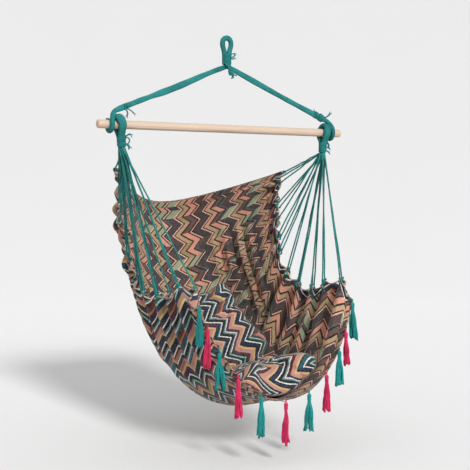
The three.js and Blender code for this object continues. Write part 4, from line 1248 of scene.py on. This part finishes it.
def pillow(name, key, thick, slump, seed, tilt=0.0, frames_=26):
    u0, au, v0, av = PILLOWS[key]
    nx, ny = 58, 54
    W = au * float(row_length(np.array([v0]))[0]) / 2       # half width in metres
    vline = np.linspace(v0 - av, v0 + av, 60)
    mid = cloth(np.full(60, u0), vline)
    H = np.linalg.norm(np.diff(mid, axis=0), axis=1).sum() / 2
    rng = np.random.default_rng(seed)
    xs = np.linspace(-1, 1, nx + 1)
    ys = np.linspace(-1, 1, ny + 1)
    grid = [[None] * (nx + 1) for _ in range(ny + 1)]
    verts, tops, bots, par = [], {}, {}, []
    grow = 1.13                                             # the panels are cut larger than the filled cushion
    for j, y in enumerate(ys):
        for i, x in enumerate(xs):
            cx, cy = x * math.sqrt(1 - 0.24 * y * y) * W * grow, y * math.sqrt(1 - 0.24 * x * x) * H * grow
            z = 0.010 * (1 - abs(x) ** 3) * (1 - abs(y) ** 3)
            jig = 0.0012 * rng.normal()
            tops[i, j] = len(verts)
            verts.append((cx, cy, z + jig * 0.3)); par.append((x, y, 1))
    for j, y in enumerate(ys):
        for i, x in enumerate(xs):
            if i in (0, nx) or j in (0, ny):
                bots[i, j] = tops[i, j]
                continue
            z = -0.010 * (1 - abs(x) ** 3) * (1 - abs(y) ** 3)
            bots[i, j] = len(verts)
            verts.append((x * math.sqrt(1 - 0.24 * y * y) * W * grow, y * math.sqrt(1 - 0.24 * x * x) * H * grow, z)); par.append((x, y, -1))
    faces = []
    for j in range(ny):
        for i in range(nx):
            faces.append((tops[i, j], tops[i + 1, j], tops[i + 1, j + 1], tops[i, j + 1]))
            faces.append((bots[i, j], bots[i, j + 1], bots[i + 1, j + 1], bots[i + 1, j]))
    par = np.array(par, float)
    ob = make_object(name, verts, faces, True, {"weave": par[:, :2] * [W * grow * CUT[key][0], H * grow * CUT[key][1]] + CUT[key][2:]}, [M_SEAT if key == "seat" else M_CUSH])
    md = ob.modifiers.new("Cloth", "CLOTH")
    cs = md.settings
    cs.quality = 7
    cs.mass = 0.25
    cs.tension_stiffness = cs.compression_stiffness = 22
    cs.shear_stiffness = 6
    cs.bending_stiffness = 0.35
    cs.tension_damping = cs.compression_damping = cs.shear_damping = 8
    cs.use_pressure = True
    cs.uniform_pressure_force = 5.5
    cs.effector_weights.gravity = 0.0
    cs.air_damping = 3.0
    md.collision_settings.use_self_collision = False
    md.collision_settings.use_collision = False
    sc = bpy.context.scene
    for fr in range(1, frames_ + 1):
        sc.frame_set(fr)
    dg = bpy.context.evaluated_depsgraph_get()
    ev = ob.evaluated_get(dg)
    co = np.zeros(len(ob.data.vertices) * 3, np.float32)
    ev.data.vertices.foreach_get("co", co)
    co = co.reshape(-1, 3).astype(float)
    ob.modifiers.remove(md)
    sc.frame_set(1)
    # the filled form, with the simulated wrinkles and puckers laid over it
    top_i = np.array([[tops[i, j] for i in range(nx + 1)] for j in range(ny + 1)])
    bot_i = np.array([[bots[i, j] for i in range(nx + 1)] for j in range(ny + 1)])
    x, y, sg = par.T
    pull_x = (1 - 0.11 * np.abs(y) ** 7) * (1 - 0.060 * (1 - y * y))
    pull_y = (1 - 0.11 * np.abs(x) ** 7) * (1 - 0.050 * (1 - x * x))
    a, b = x * pull_x, y * pull_y
    f = np.clip((1 - np.abs(x) ** 2.3) * (1 - np.abs(y) ** 2.3), 0, 1) ** 0.50
    wr = np.zeros_like(co)
    def low_pass(G, w):
        k_ = np.hanning(w + 2)[1:-1]; k_ /= k_.sum()
        h_ = w // 2
        for ax in (0, 1):
            pad = [(0, 0)] * 3; pad[ax] = (h_, h_)
            Gp = np.pad(G, pad, mode="reflect", reflect_type="odd")
            G = np.apply_along_axis(lambda c_: np.convolve(c_, k_, mode="valid"), ax, Gp)
        return G
    for idx_ in (bot_i, top_i):
        G = co[idx_]
        wr[idx_.ravel()] = (G - low_pass(G, 21)).reshape(-1, 3)
    wr = np.clip(wr, -0.012, 0.012)
    a = a + wr[:, 0] / W * 0.9
    b = b + wr[:, 1] / H * 0.9
    crown = thick * f * (1 + slump * b) * (1 - tilt * a)
    edge_up = 0.0042 + (0.022 - 0.013 * smooth01((y - 0.4) / 0.5)) * (1 - f)
    top_z = edge_up + crown + wr[:, 2] * 1.25 * sg
    low_z = edge_up
    zz = np.where(sg > 0, top_z, low_z)
    uu = u0 + au * a + SKEW[key] * b
    vv = v0 + av * b
    P = cloth(uu, vv)
    Nn = outward(uu, vv)
    P = P - Nn * zz[:, None]
    ob.data.vertices.foreach_set("co", P.astype(np.float32).ravel())
    ob.data.update()
    # the pattern keeps its scale over the crown
    G = P[top_i]
    across = np.concatenate([np.zeros((ny + 1, 1)), np.cumsum(np.linalg.norm(np.diff(G, axis=1), axis=2), 1)], 1)
    along = np.concatenate([np.zeros((1, nx + 1)), np.cumsum(np.linalg.norm(np.diff(G, axis=0), axis=2), 0)], 0)
    across -= across[:, nx // 2:nx // 2 + 1]
    along -= along[ny // 2:ny // 2 + 1]
    lay = np.stack([across * CUT[key][0] + CUT[key][2], along * CUT[key][1] + CUT[key][3]], -1)
    per = np.zeros((len(P), 2))
    per[bot_i.ravel()] = lay.reshape(-1, 2)
    per[top_i.ravel()] = lay.reshape(-1, 2)
    corner = np.zeros(len(ob.data.loops), np.int32)
    ob.data.loops.foreach_get("vertex_index", corner)
    ob.data.uv_layers["weave"].data.foreach_set("uv", per[corner].astype(np.float32).ravel())
    # seam along the rim: a narrow turned edge
    rimidx = [tops[i, 0] for i in range(nx + 1)] + [tops[nx, j] for j in range(1, ny + 1)] \
        + [tops[i, ny] for i in range(nx - 1, -1, -1)] + [tops[0, j] for j in range(ny - 1, 0, -1)]
    sub = ob.modifiers.new("Subdivision", "SUBSURF")
    sub.levels = sub.render_levels = 1
    rimp = np.vstack([P[rimidx], P[rimidx[:1]]])
    for _ in range(2):
        rimp[1:-1] = 0.5 * rimp[1:-1] + 0.25 * (rimp[:-2] + rimp[2:])
    sb = Bag()
    tube(sb, even(rimp, 0.0032), lambda T, S: 0.0017 * (1 + 0.08 * np.sin(2 * np.pi * S / 0.0042)), 8, up=(0, 0.4, 1))
    seam = sb.build(name + "_seam", [M_SEAM])
    return ob, seam


M_SEAM = yarn_material("cushion_seam_edge", 0x2a2728, 0x5b4a48, 0x9b8474, 2.0)
back_pillow, back_seam = pillow("back_pillow", "back", 0.092, 0.28, 71)
piece(back_pillow, "back_cushion", ["cushion_back"])
piece(back_seam, "back_cushion", ())
seat_pillow, seat_seam = pillow("seat_pillow", "seat", 0.120, 0.26, 72, 0.25)
piece(seat_pillow, "seat_cushion", ["cushion_seat"])
piece(seat_seam, "seat_cushion", ())

# ------------------------------------------------------------------
# floor, backdrop and light
# ------------------------------------------------------------------
FLOOR_Z = -1.44
SKY, SUN = 0.66, 3.3
TO_SUN = Vector((-0.087, -0.877, 0.47)).normalized()
prof_s = [(-60.0, 0.0), (-9.0, 0.0), (-4.0, 0.0), (4.5, 0.0)]
for i in range(1, 25):
    a = math.pi / 2 * i / 24
    prof_s.append((4.5 + 5.0 * math.sin(a), 5.0 - 5.0 * math.cos(a)))
prof_s.append((9.5, 14.0))
fw = np.array([forward.x, forward.y]); fw /= np.linalg.norm(fw)
rt = np.array([fw[1], -fw[0]])
verts, faces = [], []
for d_, z_ in prof_s:
    for w_ in (-60.0, 60.0):
        verts.append((fw[0] * d_ + rt[0] * w_, fw[1] * d_ + rt[1] * w_, FLOOR_Z + z_))
for i in range(len(prof_s) - 1):
    faces.append((2 * i, 2 * i + 1, 2 * i + 3, 2 * i + 2))
# the paper is toned so that the lit sweep reads as one even pale ground
NF = Nodes("pale_sweep")
geo = NF.new("ShaderNodeNewGeometry")
dot = NF.new("ShaderNodeVectorMath", operation="DOT_PRODUCT")
NF.link(geo.outputs["Normal"], dot.inputs[0])
dot.inputs[1].default_value = TO_SUN
lit = NF.math("ADD", SKY, NF.math("MULTIPLY", NF.math("MAXIMUM", dot.outputs["Value"], 0.0), SUN / math.pi))
tone = NF.math("DIVIDE", 0.814, lit)
level = NF.new("ShaderNodeVectorMath", operation="DOT_PRODUCT")
NF.link(geo.outputs["Normal"], level.inputs[0])
level.inputs[1].default_value = (0.0, 0.0, 1.0)
tone = NF.math("MULTIPLY", tone, NF.math("ADD", 0.962, NF.math("MULTIPLY", NF.math("MAXIMUM", level.outputs["Value"], 0.0), 0.078)))
tone = NF.math("ADD", tone, NF.math("MULTIPLY", NF.math("SUBTRACT", NF.noise(NF.place(), 0.8, 2.0), 0.5), 0.012))
NF.link(NF.combine(tone, tone, tone), NF.bsdf.inputs["Base Color"])
NF.bsdf.inputs["Roughness"].default_value = 1.0
NF.bsdf.inputs["Specular IOR Level"].default_value = 0.0
floor = make_object("floor", verts, faces, True, None, [NF.mat])

world = bpy.data.worlds.new("studio")
bpy.context.scene.world = world
world.use_nodes = True
bg = world.node_tree.nodes["Background"]
bg.inputs[0].default_value = (1.0, 1.0, 1.0, 1.0)
bg.inputs[1].default_value = SKY

sun_data = bpy.data.lights.new("key", "SUN")
sun_data.energy = SUN
sun_data.angle = math.radians(11.0)
sun = bpy.data.objects.new("key", sun_data)
bpy.context.scene.collection.objects.link(sun)
sun.rotation_mode = "QUATERNION"
sun.rotation_quaternion = (-TO_SUN).to_track_quat("-Z", "Y")

try:
    bpy.context.scene.view_settings.view_transform = "Standard"
except TypeError:
    pass
